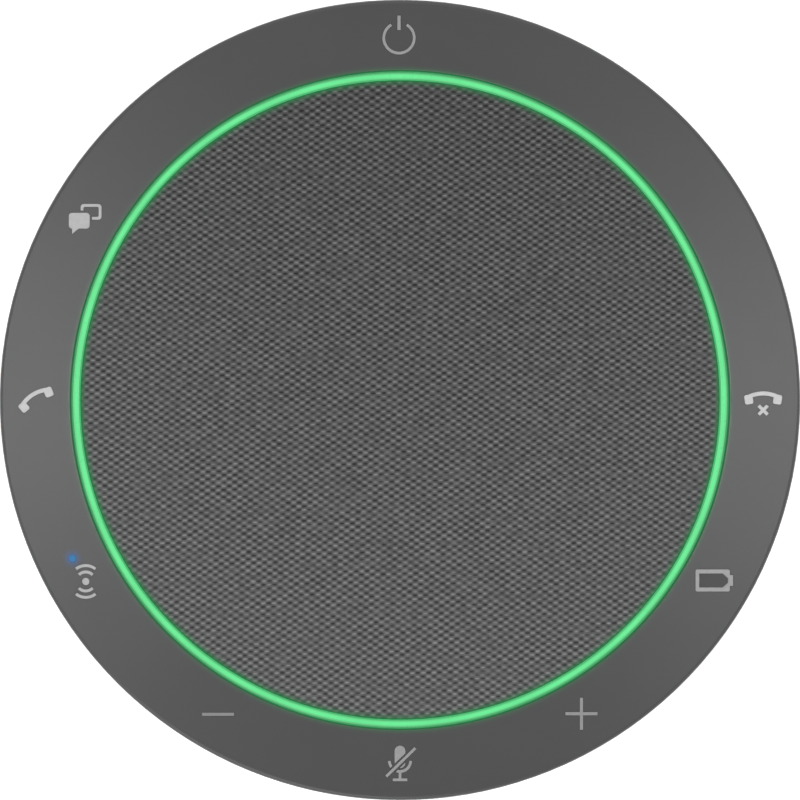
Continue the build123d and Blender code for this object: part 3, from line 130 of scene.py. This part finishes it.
KNOT_SHARE = 0.6            # the knots' part in that relief
PAINTED_LIGHT_SLOPE = (-0.035, -0.28)    # painted light and shade: change of the cloth's colour from the centre to the edge, in x and y
PAINTED_SIDE_LIGHT = 0.11           # and the painted light that grows with the square of x, lighter towards both sides
PAINTED_LIGHT_GAIN = 0.45            # share of that painted change that scales the cloth's colour
PAINTED_LIGHT_LIFT = (0.035, 0.035, 0.035)       # and the colour that a painted change of one adds to it
SHEEN = (0.12, 0.4)         # weight and roughness

# ---------------------------------------------------------------- hidden parts
PLASTIC_TONE = (0.96, 1.04)
PLASTIC_ROUGH = 0.04        # how far the roughness strays either way
GRAINS = 2500.0             # of a spark texture, to the metre
METAL_TONE = (0.85, 1.1)
METAL_ROUGH = (-0.06, 0.08)
BOARD_COLOUR = (0.012, 0.09, 0.045)
TRACKS = 220.0              # rows of tracks to the metre
TRACK_WIDTH = 0.06
TRACK_RELIEF = 0.03 * MM
SPIDER_PITCH = 0.6 * MM     # of the driver spider's weave

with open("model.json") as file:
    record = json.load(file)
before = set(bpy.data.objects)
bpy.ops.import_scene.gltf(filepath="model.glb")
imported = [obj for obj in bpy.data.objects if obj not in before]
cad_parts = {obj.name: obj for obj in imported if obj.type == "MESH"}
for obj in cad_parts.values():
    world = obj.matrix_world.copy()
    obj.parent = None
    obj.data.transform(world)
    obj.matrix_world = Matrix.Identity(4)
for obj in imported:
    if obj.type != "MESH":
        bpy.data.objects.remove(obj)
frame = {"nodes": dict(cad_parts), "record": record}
cad_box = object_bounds()


# ---------------------------------------------------------------- camera, world, floor, lights
def place_camera():
    """A long lens straight above, so that the disc just fills the square picture."""
    low, high = cad_box
    edge_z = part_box("key_skin")[0][2]
    camera = bpy.data.cameras.new("camera")
    camera.sensor_width = SENSOR_WIDTH
    camera.lens = SENSOR_WIDTH * CAMERA_DISTANCE / (high[0] - low[0])
    camera.clip_end = VIEW_END
    holder = bpy.data.objects.new("camera", camera)
    middle = [(low[axis] + high[axis]) / 2 for axis in (0, 1)]
    holder.location = (*middle, edge_z + CAMERA_DISTANCE)
    bpy.context.scene.collection.objects.link(holder)
    bpy.context.scene.camera = holder


def area_light(name, azimuth, tilt, size, power):
    """A soft box that looks at the object from an azimuth and an angle from the zenith."""
    lamp = bpy.data.lights.new(name, "AREA")
    lamp.shape = "RECTANGLE"
    lamp.size, lamp.size_y = size
    lamp.energy = power
    holder = bpy.data.objects.new(name, lamp)
    turn, lean = math.radians(azimuth), math.radians(tilt)
    holder.location = (
        LIGHT_DISTANCE * math.sin(lean) * math.cos(turn),
        LIGHT_DISTANCE * math.sin(lean) * math.sin(turn),
        LIGHT_DISTANCE * math.cos(lean),
    )
    holder.rotation_euler = Vector(holder.location).to_track_quat("Z", "Y").to_euler()
    bpy.context.scene.collection.objects.link(holder)


def light_studio():
    """Two soft boxes high on the left and right, weaker ones in front and behind, and a pale
    surrounding that is brightest near the horizon."""
    world = bpy.data.worlds.new("studio")
    bpy.context.scene.world = world
    world.use_nodes = True
    tree = world.node_tree
    sky = tree.nodes["Background"]
    sky.inputs["Color"].default_value = (1.0, 1.0, 1.0, 1.0)
    direction = tree.nodes.new("ShaderNodeTexCoord").outputs["Generated"]
    split = tree.nodes.new("ShaderNodeSeparateXYZ")
    tree.links.new(direction, split.inputs["Vector"])
    fall = tree.nodes.new("ShaderNodeMapRange")
    fall.interpolation_type = "SMOOTHSTEP"
    fall.inputs["From Min"].default_value = LIGHT_FALL[0]
    fall.inputs["From Max"].default_value = LIGHT_FALL[1]
    fall.inputs["To Min"].default_value = HORIZON_LIGHT
    fall.inputs["To Max"].default_value = ZENITH_LIGHT
    tree.links.new(split.outputs["Z"], fall.inputs["Value"])
    tree.links.new(fall.outputs["Result"], sky.inputs["Strength"])
    for soft_box in SOFT_BOXES:
        area_light(*soft_box)
    scene = bpy.context.scene
    scene.view_settings.view_transform = "Standard"
    scene.view_settings.look = "None"


def lay_floor():
    """A plain pale table top."""
    mesh = bpy.data.meshes.new("floor")
    signs = [(-1, -1), (1, -1), (1, 1), (-1, 1)]
    corners = [(FLOOR_HALF * x, FLOOR_HALF * y, 0.0) for x, y in signs]
    mesh.from_pydata(corners, [], [(0, 1, 2, 3)])
    floor = bpy.data.objects.new("floor", mesh)
    bpy.context.scene.collection.objects.link(floor)
    low, high = [(tone, tone, tone) for tone in FLOOR_TONE]
    paint = Paint("floor_paint", low, FLOOR_ROUGH)
    paint.colour(paint.noise(6.0), low, high)
    paint.shader.inputs["Emission Color"].default_value = (1.0, 1.0, 1.0, 1.0)
    paint.shader.inputs["Emission Strength"].default_value = FLOOR_GLOW
    mesh.materials.append(paint.material)


# ---------------------------------------------------------------- materials
def shade(colour, factor):
    """A colour made lighter or darker."""
    return tuple(min(1.0, part * factor) for part in colour)


class Paint:
    """A node material that reads its patterns from object coordinates, in metres."""

    def __init__(self, name, colour, roughness, metallic=0.0):
        self.material = bpy.data.materials.new(name)
        self.material.use_nodes = True
        self.tree = self.material.node_tree
        self.shader = self.tree.nodes["Principled BSDF"]
        self.shader.inputs["Base Color"].default_value = (*colour, 1.0)
        self.shader.inputs["Roughness"].default_value = roughness
        self.shader.inputs["Metallic"].default_value = metallic
        self.place = self.node("ShaderNodeTexCoord").outputs["Object"]

    def node(self, kind, **settings):
        made = self.tree.nodes.new(kind)
        for key, value in settings.items():
            setattr(made, key, value)
        return made

    def link(self, source, target):
        self.tree.links.new(source, target)

    # -------- patterns: number sockets
    def noise(self, scale, detail=4.0, stretch=(1.0, 1.0, 1.0)):
        """Noise with about scale features to the metre, stretched along the axes."""
        mapping = self.node("ShaderNodeMapping")
        mapping.inputs["Scale"].default_value = stretch
        self.link(self.place, mapping.inputs["Vector"])
        noise = self.node("ShaderNodeTexNoise")
        noise.inputs["Scale"].default_value = scale
        noise.inputs["Detail"].default_value = detail
        self.link(mapping.outputs["Vector"], noise.inputs["Vector"])
        return noise.outputs["Fac"]

    def range(self, source, low, high, from_low=0.3, from_high=0.7, kind="LINEAR"):
        """A stretch of a socket's values mapped to low..high; noise mostly fills 0.3..0.7."""
        span = self.node("ShaderNodeMapRange", interpolation_type=kind)
        span.inputs["From Min"].default_value = from_low
        span.inputs["From Max"].default_value = from_high
        span.inputs["To Min"].default_value = low
        span.inputs["To Max"].default_value = high
        self.link(source, span.inputs["Value"])
        return span.outputs["Result"]

    def maths(self, operation, *values):
        """Result of a maths node on sockets or numbers."""
        made = self.node("ShaderNodeMath", operation=operation)
        for value, socket in zip(values, made.inputs):
            if isinstance(value, (int, float)):
                socket.default_value = value
            else:
                self.link(value, socket)
        return made.outputs[0]

    def along(self, direction):
        """Object position measured along a direction, times its length."""
        made = self.node("ShaderNodeVectorMath", operation="DOT_PRODUCT")
        self.link(self.place, made.inputs[0])
        made.inputs[1].default_value = direction
        return made.outputs["Value"]

    def radius(self, centre=(0.0, 0.0)):
        """Distance from an upright line, in plan."""
        flat = self.node("ShaderNodeVectorMath", operation="MULTIPLY_ADD")
        self.link(self.place, flat.inputs[0])
        flat.inputs[1].default_value = (1.0, 1.0, 0.0)
        flat.inputs[2].default_value = (-centre[0], -centre[1], 0.0)
        length = self.node("ShaderNodeVectorMath", operation="LENGTH")
        self.link(flat.outputs["Vector"], length.inputs[0])
        return length.outputs["Value"]

    def close(self, distance, start, end):
        """Share that falls from one at a start distance to nothing at an end, ever slower."""
        share = self.range(distance, 1.0, 0.0, start, end)
        return self.maths("MULTIPLY", share, share)

    # -------- colours: colour sockets
    def mix(self, share, first, second):
        """Colour between two colours or sockets."""
        mix = self.node("ShaderNodeMix", data_type="RGBA")
        self.link(share, mix.inputs["Factor"])
        for value, socket in ((first, mix.inputs[6]), (second, mix.inputs[7])):
            if isinstance(value, tuple):
                socket.default_value = (*value, 1.0)
            else:
                self.link(value, socket)
        return mix.outputs[2]

    def uneven(self, pattern, colour, spread):
        """A colour that a noise pattern makes darker and lighter within a spread."""
        low, high = (shade(colour, factor) for factor in spread)
        return self.mix(self.range(pattern, 0.0, 1.0), low, high)

    def scaled(self, colour, gain):
        """Colour or colour socket times a number socket."""
        made = self.node("ShaderNodeVectorMath", operation="SCALE")
        if isinstance(colour, tuple):
            made.inputs[0].default_value = colour
        else:
            self.link(colour, made.inputs[0])
        self.link(gain, made.inputs["Scale"])
        return made.outputs["Vector"]

    def total(self, first, second):
        """Sum of two colour sockets."""
        made = self.node("ShaderNodeVectorMath", operation="ADD")
        self.link(first, made.inputs[0])
        self.link(second, made.inputs[1])
        return made.outputs["Vector"]

    # -------- shader inputs
    def base(self, colour):
        self.link(colour, self.shader.inputs["Base Color"])

    def glow(self, colour):
        self.link(colour, self.shader.inputs["Emission Color"])

    def colour(self, pattern, first, second):
        """Base colour that goes from first to second with a pattern."""
        self.base(self.mix(self.range(pattern, 0.0, 1.0), first, second))

    def rough(self, pattern, low, high):
        """Roughness that goes from low to high with a pattern."""
        self.link(self.range(pattern, low, high), self.shader.inputs["Roughness"])

    def bump(self, height, depth, strength=1.0):
        """Relief of a depth in metres."""
        bump = self.node("ShaderNodeBump")
        bump.inputs["Distance"].default_value = depth
        bump.inputs["Strength"].default_value = strength
        self.link(height, bump.inputs["Height"])
        self.link(bump.outputs["Normal"], self.shader.inputs["Normal"])


def plastic(name, colour, roughness, grain=0.0, grains=GRAINS):
    """Moulded plastic with a slightly uneven tone and an optional spark texture."""
    paint = Paint(name, colour, roughness)
    paint.base(paint.uneven(paint.noise(260.0), colour, PLASTIC_TONE))
    paint.rough(paint.noise(400.0), roughness - PLASTIC_ROUGH, roughness + PLASTIC_ROUGH)
    if grain:
        paint.bump(paint.noise(grains, 3.0), grain)
    return paint.material


def metal(name, colour, roughness, stretch=(1.0, 1.0, 1.0)):
    """Plated or bare metal with fine drawn lines."""
    paint = Paint(name, colour, roughness, metallic=1.0)
    lines = paint.noise(900.0, stretch=stretch)
    paint.base(paint.uneven(lines, colour, METAL_TONE))
    paint.rough(lines, roughness + METAL_ROUGH[0], roughness + METAL_ROUGH[1])
    return paint.material


def radii(name, above=0.0):
    """Smallest and largest distance from the axis of a CAD node's corners above a height."""
    node = frame["nodes"][name]
    places = [node.matrix_world @ vertex.co for vertex in node.data.vertices]
    reach = [place.to_2d().length for place in places if place.z > above]
    return min(reach), max(reach)


def paint_spill_and_shade(paint, tone, sources, darker):
    """Base colour of a soft part with painted shade, and a painted glow in place of the light that
    it would pick up from lit parts beside it. Its colour is painted darker there, as shade where it
    goes down into the gap."""
    # painted glow as emission, and painted shade as a darker base colour
    glow = paint.scaled((0.0, 0.0, 0.0), sources[0][1])
    for colour, share in sources:
        glow = paint.total(glow, paint.scaled(colour, share))
        tone = paint.scaled(tone, paint.maths("MULTIPLY_ADD", share, -darker, 1.0))
    paint.base(tone)
    paint.glow(glow)
    paint.shader.inputs["Emission Strength"].default_value = 1.0


def skin_material():
    """Satin soft-touch silicone, with a painted glow and painted shade beside the ring and the
    status lens.
    """
    paint = Paint("soft_skin", SKIN_COLOUR, sum(SKIN_ROUGH) / 2)
    tone = paint.uneven(paint.noise(60.0), SKIN_COLOUR, (0.97, 1.03))
    # painted glow and painted shade beside the ring and the lens: emission added and base colour
    # darkened
    inner = radii("key_skin")[0]
    painted_ring_spill_share = paint.close(paint.radius(), inner, inner + SKIN_REACH)
    low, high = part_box("status_lens")
    lens = ((low[0] + high[0]) / 2, (low[1] + high[1]) / 2)
    lens_r = (high[0] - low[0]) / 2
    painted_lens_spill_share = paint.close(paint.radius(lens), lens_r, lens_r + LENS_REACH)
    paint_spill_and_shade(paint, tone, [(PAINTED_RING_SPILL, painted_ring_spill_share), (PAINTED_LENS_SPILL, painted_lens_spill_share)], SKIN_PAINTED_SHADE)
    paint.rough(paint.noise(700.0), *SKIN_ROUGH)
    paint.bump(paint.noise(9000.0, 2.0), SKIN_GRAIN, 0.5)
    return paint.material


def legend_material(name, level):
    """Translucent light grey inlay, lit only by the room."""
    colour = (level, level, level * LEGEND_BLUE)
    paint = Paint(name, colour, 0.45)
    paint.base(paint.uneven(paint.noise(1500.0), colour, (0.94, 1.04)))
    paint.rough(paint.noise(2500.0), 0.4, 0.5)
    return paint.material


def ring_material():
    """Frosted light guide over its lamps: brightest near its middle line, and dimmer towards its
    edges and on its hidden sides."""
    paint = Paint("ring_glow", RING_COLOUR, 0.3)
    paint.rough(paint.noise(1200.0), 0.25, 0.35)
    turn = paint.maths("ARCTAN2", paint.along((0.0, 1.0, 0.0)), paint.along((1.0, 0.0, 0.0)))
    wave = paint.maths("COSINE", paint.maths("MULTIPLY", turn, float(LAMPS)))
    low, high = (shade(RING_GLOW, factor) for factor in LAMP_RIPPLE)
    paint.glow(paint.mix(paint.range(wave, 0.0, 1.0, -1.0, 1.0), low, high))
    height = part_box("light_ring")[1][2]
    inner, outer = radii("light_ring", height - TOP_SLICE)
    peak = (inner + outer) / 2 - RING_SHIFT
    off_peak = paint.maths("ABSOLUTE", paint.maths("SUBTRACT", paint.radius(), peak))
    fall = (PEAK_HALF, outer - peak + FALL_PAST)
    top = paint.range(off_peak, 1.0, EDGE_GLOW, *fall, kind="SMOOTHSTEP")
    depths = [height - depth for depth in SIDE_DEPTHS]
    sides = paint.range(paint.along((0.0, 0.0, 1.0)), SIDE_GLOW, 0.0, *depths)
    paint.link(paint.maths("ADD", top, sides), paint.shader.inputs["Emission Strength"])
    return paint.material


def status_material():
    """Small lit lens beside the wireless legend."""
    paint = Paint("status_glow", shade(STATUS_GLOW, 0.1), 0.45)
    paint.shader.inputs["Specular IOR Level"].default_value = STATUS_SPECULAR
    paint.shader.inputs["Emission Strength"].default_value = 1.0
    paint.glow(paint.uneven(paint.noise(900.0), STATUS_GLOW, (0.95, 1.05)))
    return paint.material


def board_material():
    """Green solder mask with copper tracks showing through as a faint relief."""
    paint = Paint("solder_mask", BOARD_COLOUR, 0.35)
    tracks = paint.node("ShaderNodeTexBrick")
    tracks.inputs["Scale"].default_value = TRACKS
    tracks.inputs["Mortar Size"].default_value = TRACK_WIDTH
    tracks.inputs["Color1"].default_value = (0.0, 0.0, 0.0, 1.0)
    tracks.inputs["Color2"].default_value = (0.1, 0.1, 0.1, 1.0)
    tracks.inputs["Mortar"].default_value = (1.0, 1.0, 1.0, 1.0)
    paint.link(paint.place, tracks.inputs["Vector"])
    paint.colour(tracks.outputs["Color"], BOARD_COLOUR, shade(BOARD_COLOUR, 1.7))
    paint.bump(tracks.outputs["Color"], TRACK_RELIEF)
    return paint.material


def cloth_material(name, colour, pitch):
    """Plain woven cloth for hidden sheets."""
    paint = Paint(name, colour, 0.85)
    weave = paint.node("ShaderNodeTexChecker")
    weave.inputs["Scale"].default_value = 1.0 / pitch
    paint.link(paint.place, weave.inputs["Vector"])
    paint.colour(weave.outputs["Fac"], shade(colour, 0.7), shade(colour, 1.2))
    paint.bump(weave.outputs["Fac"], pitch / 8)
    return paint.material


def painted_light_gradient(paint, colour):
    """The cloth's colour with painted light and shade: lighter towards the user and the sides than
    at its centre, and darker towards the back.
    """
    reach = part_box("grille_fabric")[1][0]
    slope = paint.along((PAINTED_LIGHT_SLOPE[0] / reach, PAINTED_LIGHT_SLOPE[1] / reach, 0.0))
    side = paint.along((1.0 / reach, 0.0, 0.0))
    change = paint.maths("MULTIPLY_ADD", paint.maths("MULTIPLY", side, side), PAINTED_SIDE_LIGHT, slope)
    gained = paint.scaled(colour, paint.maths("MULTIPLY_ADD", change, PAINTED_LIGHT_GAIN, 1.0))
    lifted = paint.total(gained, paint.scaled(PAINTED_LIGHT_LIFT, change))
    not_under_black = paint.node("ShaderNodeVectorMath", operation="MAXIMUM")
    paint.link(lifted, not_under_black.inputs[0])
    return not_under_black.outputs["Vector"]


def grille_cloth_material():
    """Mesh cloth in two greys: pale yarn knots between dark eyes, with fibres along the knots,
    painted light and shade across it, and a painted glow and painted shade beside the ring.
    """
    paint = Paint("grille_weave", GREY_YARN, 0.75)
    across, along = (
        paint.maths("COSINE", paint.along((math.pi * rate[0], math.pi * rate[1], 0.0)))
        for rate in (ACROSS, ALONG)
    )
    along_squared = paint.maths("MULTIPLY", along, along)
    narrow = paint.maths("MULTIPLY_ADD", along_squared, NARROWING, 1.0 - NARROWING)
    height = paint.maths("MULTIPLY", across, paint.maths("MULTIPLY", along, narrow))
    fibres = paint.noise(1.0, 3.0, FIBRES)
    slubs = paint.noise(1.0, 2.0, SLUBS)
    thick = paint.maths("MULTIPLY", height, paint.range(slubs, *SLUB_GAIN))
    offset = paint.range(paint.noise(1100.0, 2.0), -KNOT_OFFSET, KNOT_OFFSET)
    lit = paint.range(paint.maths("ADD", thick, offset), 0.0, 1.0, *YARN_RANGE)
    grey = paint.uneven(fibres, GREY_YARN, YARN_SPREAD)
    dark = paint.uneven(paint.noise(55.0, 3.0), DARK_YARN, DARK_SPREAD)
    # painted light and shade: the cloth's colour lighter towards the user and the sides, darker
    # towards the back
    woven = painted_light_gradient(paint, paint.mix(paint.maths("POWER", lit, YARN_GAMMA), dark, grey))
    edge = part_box("grille_fabric")[1][0]
    # painted glow and painted shade on the cloth beside the ring
    painted_ring_spill_share = paint.close(paint.radius(), edge, edge - CLOTH_REACH)
    paint_spill_and_shade(paint, woven, [(shade(PAINTED_RING_SPILL, CLOTH_PAINTED_SPILL_GAIN), painted_ring_spill_share)], CLOTH_PAINTED_SHADE)
    paint.shader.inputs["Sheen Weight"].default_value = SHEEN[0]
    paint.shader.inputs["Sheen Roughness"].default_value = SHEEN[1]
    knots = paint.maths("MULTIPLY", height, KNOT_SHARE)
    paint.bump(paint.maths("ADD", fibres, knots), FIBRE_RELIEF, 0.8)
    return paint.material


def slot_materials():
    """One material for each slot of the record."""
    return {
        "skin": skin_material(),
        "key_plastic": skin_material(),
        "legend": legend_material("legend_inlay", LEGEND_LEVEL),
        "status_light": status_material(),
        "light_guide": ring_material(),
        "upper_shell": plastic("upper_shell", (0.045, 0.045, 0.047), 0.45, 0.03 * MM),
        "lower_shell": plastic("lower_shell", (0.030, 0.030, 0.032), 0.55, 0.05 * MM),
        "seal_rubber": plastic("seal_rubber", (0.015, 0.015, 0.015), 0.7),
        "foot_rubber": plastic("foot_rubber", (0.022, 0.022, 0.023), 0.75, 0.02 * MM),
        "label_sheet": plastic("label_sheet", (0.05, 0.05, 0.052), 0.5, 0.01 * MM, 4000.0),
        "inner_plastic": plastic("inner_plastic", (0.03, 0.03, 0.03), 0.5, 0.02 * MM),
        "grille_cloth": grille_cloth_material(),
        "grille_metal": plastic("grille_coat", (0.012, 0.012, 0.012), 0.5, 0.01 * MM),
        "circuit_board": board_material(),
        "chip": plastic("chip_epoxy", (0.02, 0.02, 0.022), 0.55, 0.01 * MM, 5000.0),
        "connector": plastic("connector_nylon", (0.72, 0.68, 0.56), 0.45),
        "lamp": plastic("lamp_epoxy", (0.8, 0.8, 0.72), 0.2),
        "snap_metal": metal("snap_steel", (0.7, 0.7, 0.7), 0.25),
        "screw_steel": metal("screw_steel", (0.45, 0.45, 0.47), 0.35),
        "socket_metal": metal("socket_nickel", (0.62, 0.61, 0.58), 0.28, (1.0, 0.1, 1.0)),
        "driver_frame": plastic("driver_frame", (0.02, 0.02, 0.02), 0.4, 0.01 * MM),
        "driver_steel": metal("driver_steel", (0.5, 0.5, 0.5), 0.3),
        "magnet": plastic("ferrite", (0.06, 0.06, 0.065), 0.6, 0.02 * MM, 3000.0),
        "cone_paper": plastic("cone_pulp", (0.035, 0.034, 0.033), 0.85, 0.05 * MM, 1800.0),
        "surround_rubber": plastic("surround_rubber", (0.015, 0.015, 0.015), 0.4),
        "spider_cloth": cloth_material("spider_cloth", (0.5, 0.32, 0.12), SPIDER_PITCH),
        "coil_copper": metal("coil_copper", (0.8, 0.4, 0.22), 0.3, (1.0, 1.0, 12.0)),
        "ribbon": plastic("ribbon_film", (0.5, 0.26, 0.06), 0.3),
        "cell_wrap": metal("cell_wrap", (0.6, 0.61, 0.63), 0.35),
        "wire": plastic("wire_jacket", (0.45, 0.02, 0.02), 0.45),
    }


def paint_frame(materials):
    """Give every CAD node the material of its record slot, and some legends their own grey."""
    slots = {part["node"]: part["material_slot"] for part in frame["record"]["subparts"]}
    for name, node in frame["nodes"].items():
        node.data.materials.clear()
        node.data.materials.append(materials[slots[name]])
    for name, level in LEGEND_LEVELS.items():
        legend = frame["nodes"]["legend_" + name]
        legend.data.materials[0] = legend_material("inlay_" + name, level)


# ---------------------------------------------------------------- grille cloth
class Dome:
    """The cloth's mean surface: a shallow ball cap whose crown lies one relief under the CAD's."""

    def __init__(self):
        low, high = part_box("grille_fabric")
        self.radius = high[0]
        self.low = low[2]
        self.crown = high[2] - RELIEF
        self.ball = (self.radius**2 + DOME_DROP**2) / (2 * DOME_DROP)

    def height(self, r):
        return self.crown - self.ball + np.sqrt(self.ball**2 - r**2)


def weave_grid(dome, relief_end):
    """Points and faces of the patterned sheet: a slanted grid that follows the weave, as far
    as a radius."""
    turn = np.array([ACROSS, ALONG]) / 2
    steps = (COLUMNS_PER_TURN, ROWS_PER_TURN)
    reach = [int(relief_end * np.linalg.norm(rate) * count) + 2 for rate, count in zip(turn, steps)]
    counts = [np.arange(-half, half + 1) for half in reach]
    column, row = np.meshgrid(*counts)
    turns = np.stack([column / COLUMNS_PER_TURN, row / ROWS_PER_TURN], axis=-1)
    spots = turns @ np.linalg.inv(turn).T
    radius = np.hypot(spots[..., 0], spots[..., 1])
    inside = radius < relief_end
    keep = inside[:-1, :-1] & inside[1:, :-1] & inside[:-1, 1:] & inside[1:, 1:]
    used = np.zeros(inside.shape, bool)
    for rows in (slice(None, -1), slice(1, None)):
        for columns in (slice(None, -1), slice(1, None)):
            used[rows, columns] |= keep
    number = np.full(inside.shape, -1)
    number[used] = np.arange(used.sum())
    phase = 2 * math.pi * turns
    fade = np.clip((relief_end - radius) / FADE, 0.0, 1.0)
    relief = RELIEF * fade * np.cos(phase[..., 0]) * np.cos(phase[..., 1])
    points = np.column_stack([spots[used], (dome.height(radius) + relief)[used]])
    # the rows run towards -Y, so this order turns the faces upwards
    corners = [number[:-1, :-1], number[1:, :-1], number[1:, 1:], number[:-1, 1:]]
    return points, np.stack(corners, axis=-1)[keep]


def hem_profile(dome, hem_start):
    """Radius and height of each ring of the turned edge, from the dome down to the hem."""
    top = float(dome.height(np.float64(hem_start)))
    rings = [(hem_start, top)]
    for step in range(1, HEM_STEPS + 1):
        bend = math.pi / 2 * step / HEM_STEPS
        rings.append((hem_start + HEM_R * math.sin(bend), top - HEM_R * (1 - math.cos(bend))))
    rings.append((dome.radius, (top - HEM_R + dome.low) / 2))
    rings.append((dome.radius, dome.low))
    return rings


def ordered_rim(mesh):
    """The open edge's vertices in order round the sheet."""
    following = {}
    for edge in mesh.edges:
        if len(edge.link_faces) == 1:
            loop = edge.link_loops[0]
            following[loop.vert] = loop.link_loop_next.vert
    first = max(following, key=lambda vert: vert.co.x)
    rim = [first]
    while following[rim[-1]] is not first:
        rim.append(following[rim[-1]])
    return rim


def grow_ring(mesh, rim, radius, height):
    """Add a ring of vertices outside the rim and the faces between them."""
    angles = np.unwrap([math.atan2(vert.co.y, vert.co.x) for vert in rim])
    ring = []
    for angle in np.maximum.accumulate(angles):
        ring.append(mesh.verts.new((radius * math.cos(angle), radius * math.sin(angle), height)))
    for index, vert in enumerate(rim):
        after = (index + 1) % len(rim)
        mesh.faces.new([vert, ring[index], ring[after], rim[after]])
    return ring


def weave_cloth(dome, material):
    """A stretched sheet over the grille, with its pattern in the mesh and its edge turned down."""
    hem_start = dome.radius - HEM_R
    points, quads = weave_grid(dome, hem_start - PLAIN)
    mesh = bmesh.new()
    made = [mesh.verts.new(point) for point in points]
    for quad in quads:
        mesh.faces.new([made[index] for index in quad])
    rim = ordered_rim(mesh)
    for ring_r, ring_z in hem_profile(dome, hem_start):
        rim = grow_ring(mesh, rim, ring_r, ring_z)
    data = bpy.data.meshes.new("woven_grille")
    mesh.to_mesh(data)
    mesh.free()
    data.shade_smooth()
    data.materials.append(material)
    cloth = bpy.data.objects.new("woven_grille", data)
    bpy.context.scene.collection.objects.link(cloth)
    return cloth


def add_cloth(material):
    """Put the woven sheet in the fabric's place, on the housing, and hide the CAD fabric."""
    dome = Dome()
    cloth = weave_cloth(dome, material)
    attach(cloth, "housing")
    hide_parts("grille_fabric")


place_camera()
light_studio()
lay_floor()
materials = slot_materials()
paint_frame(materials)
add_cloth(materials["grille_cloth"])
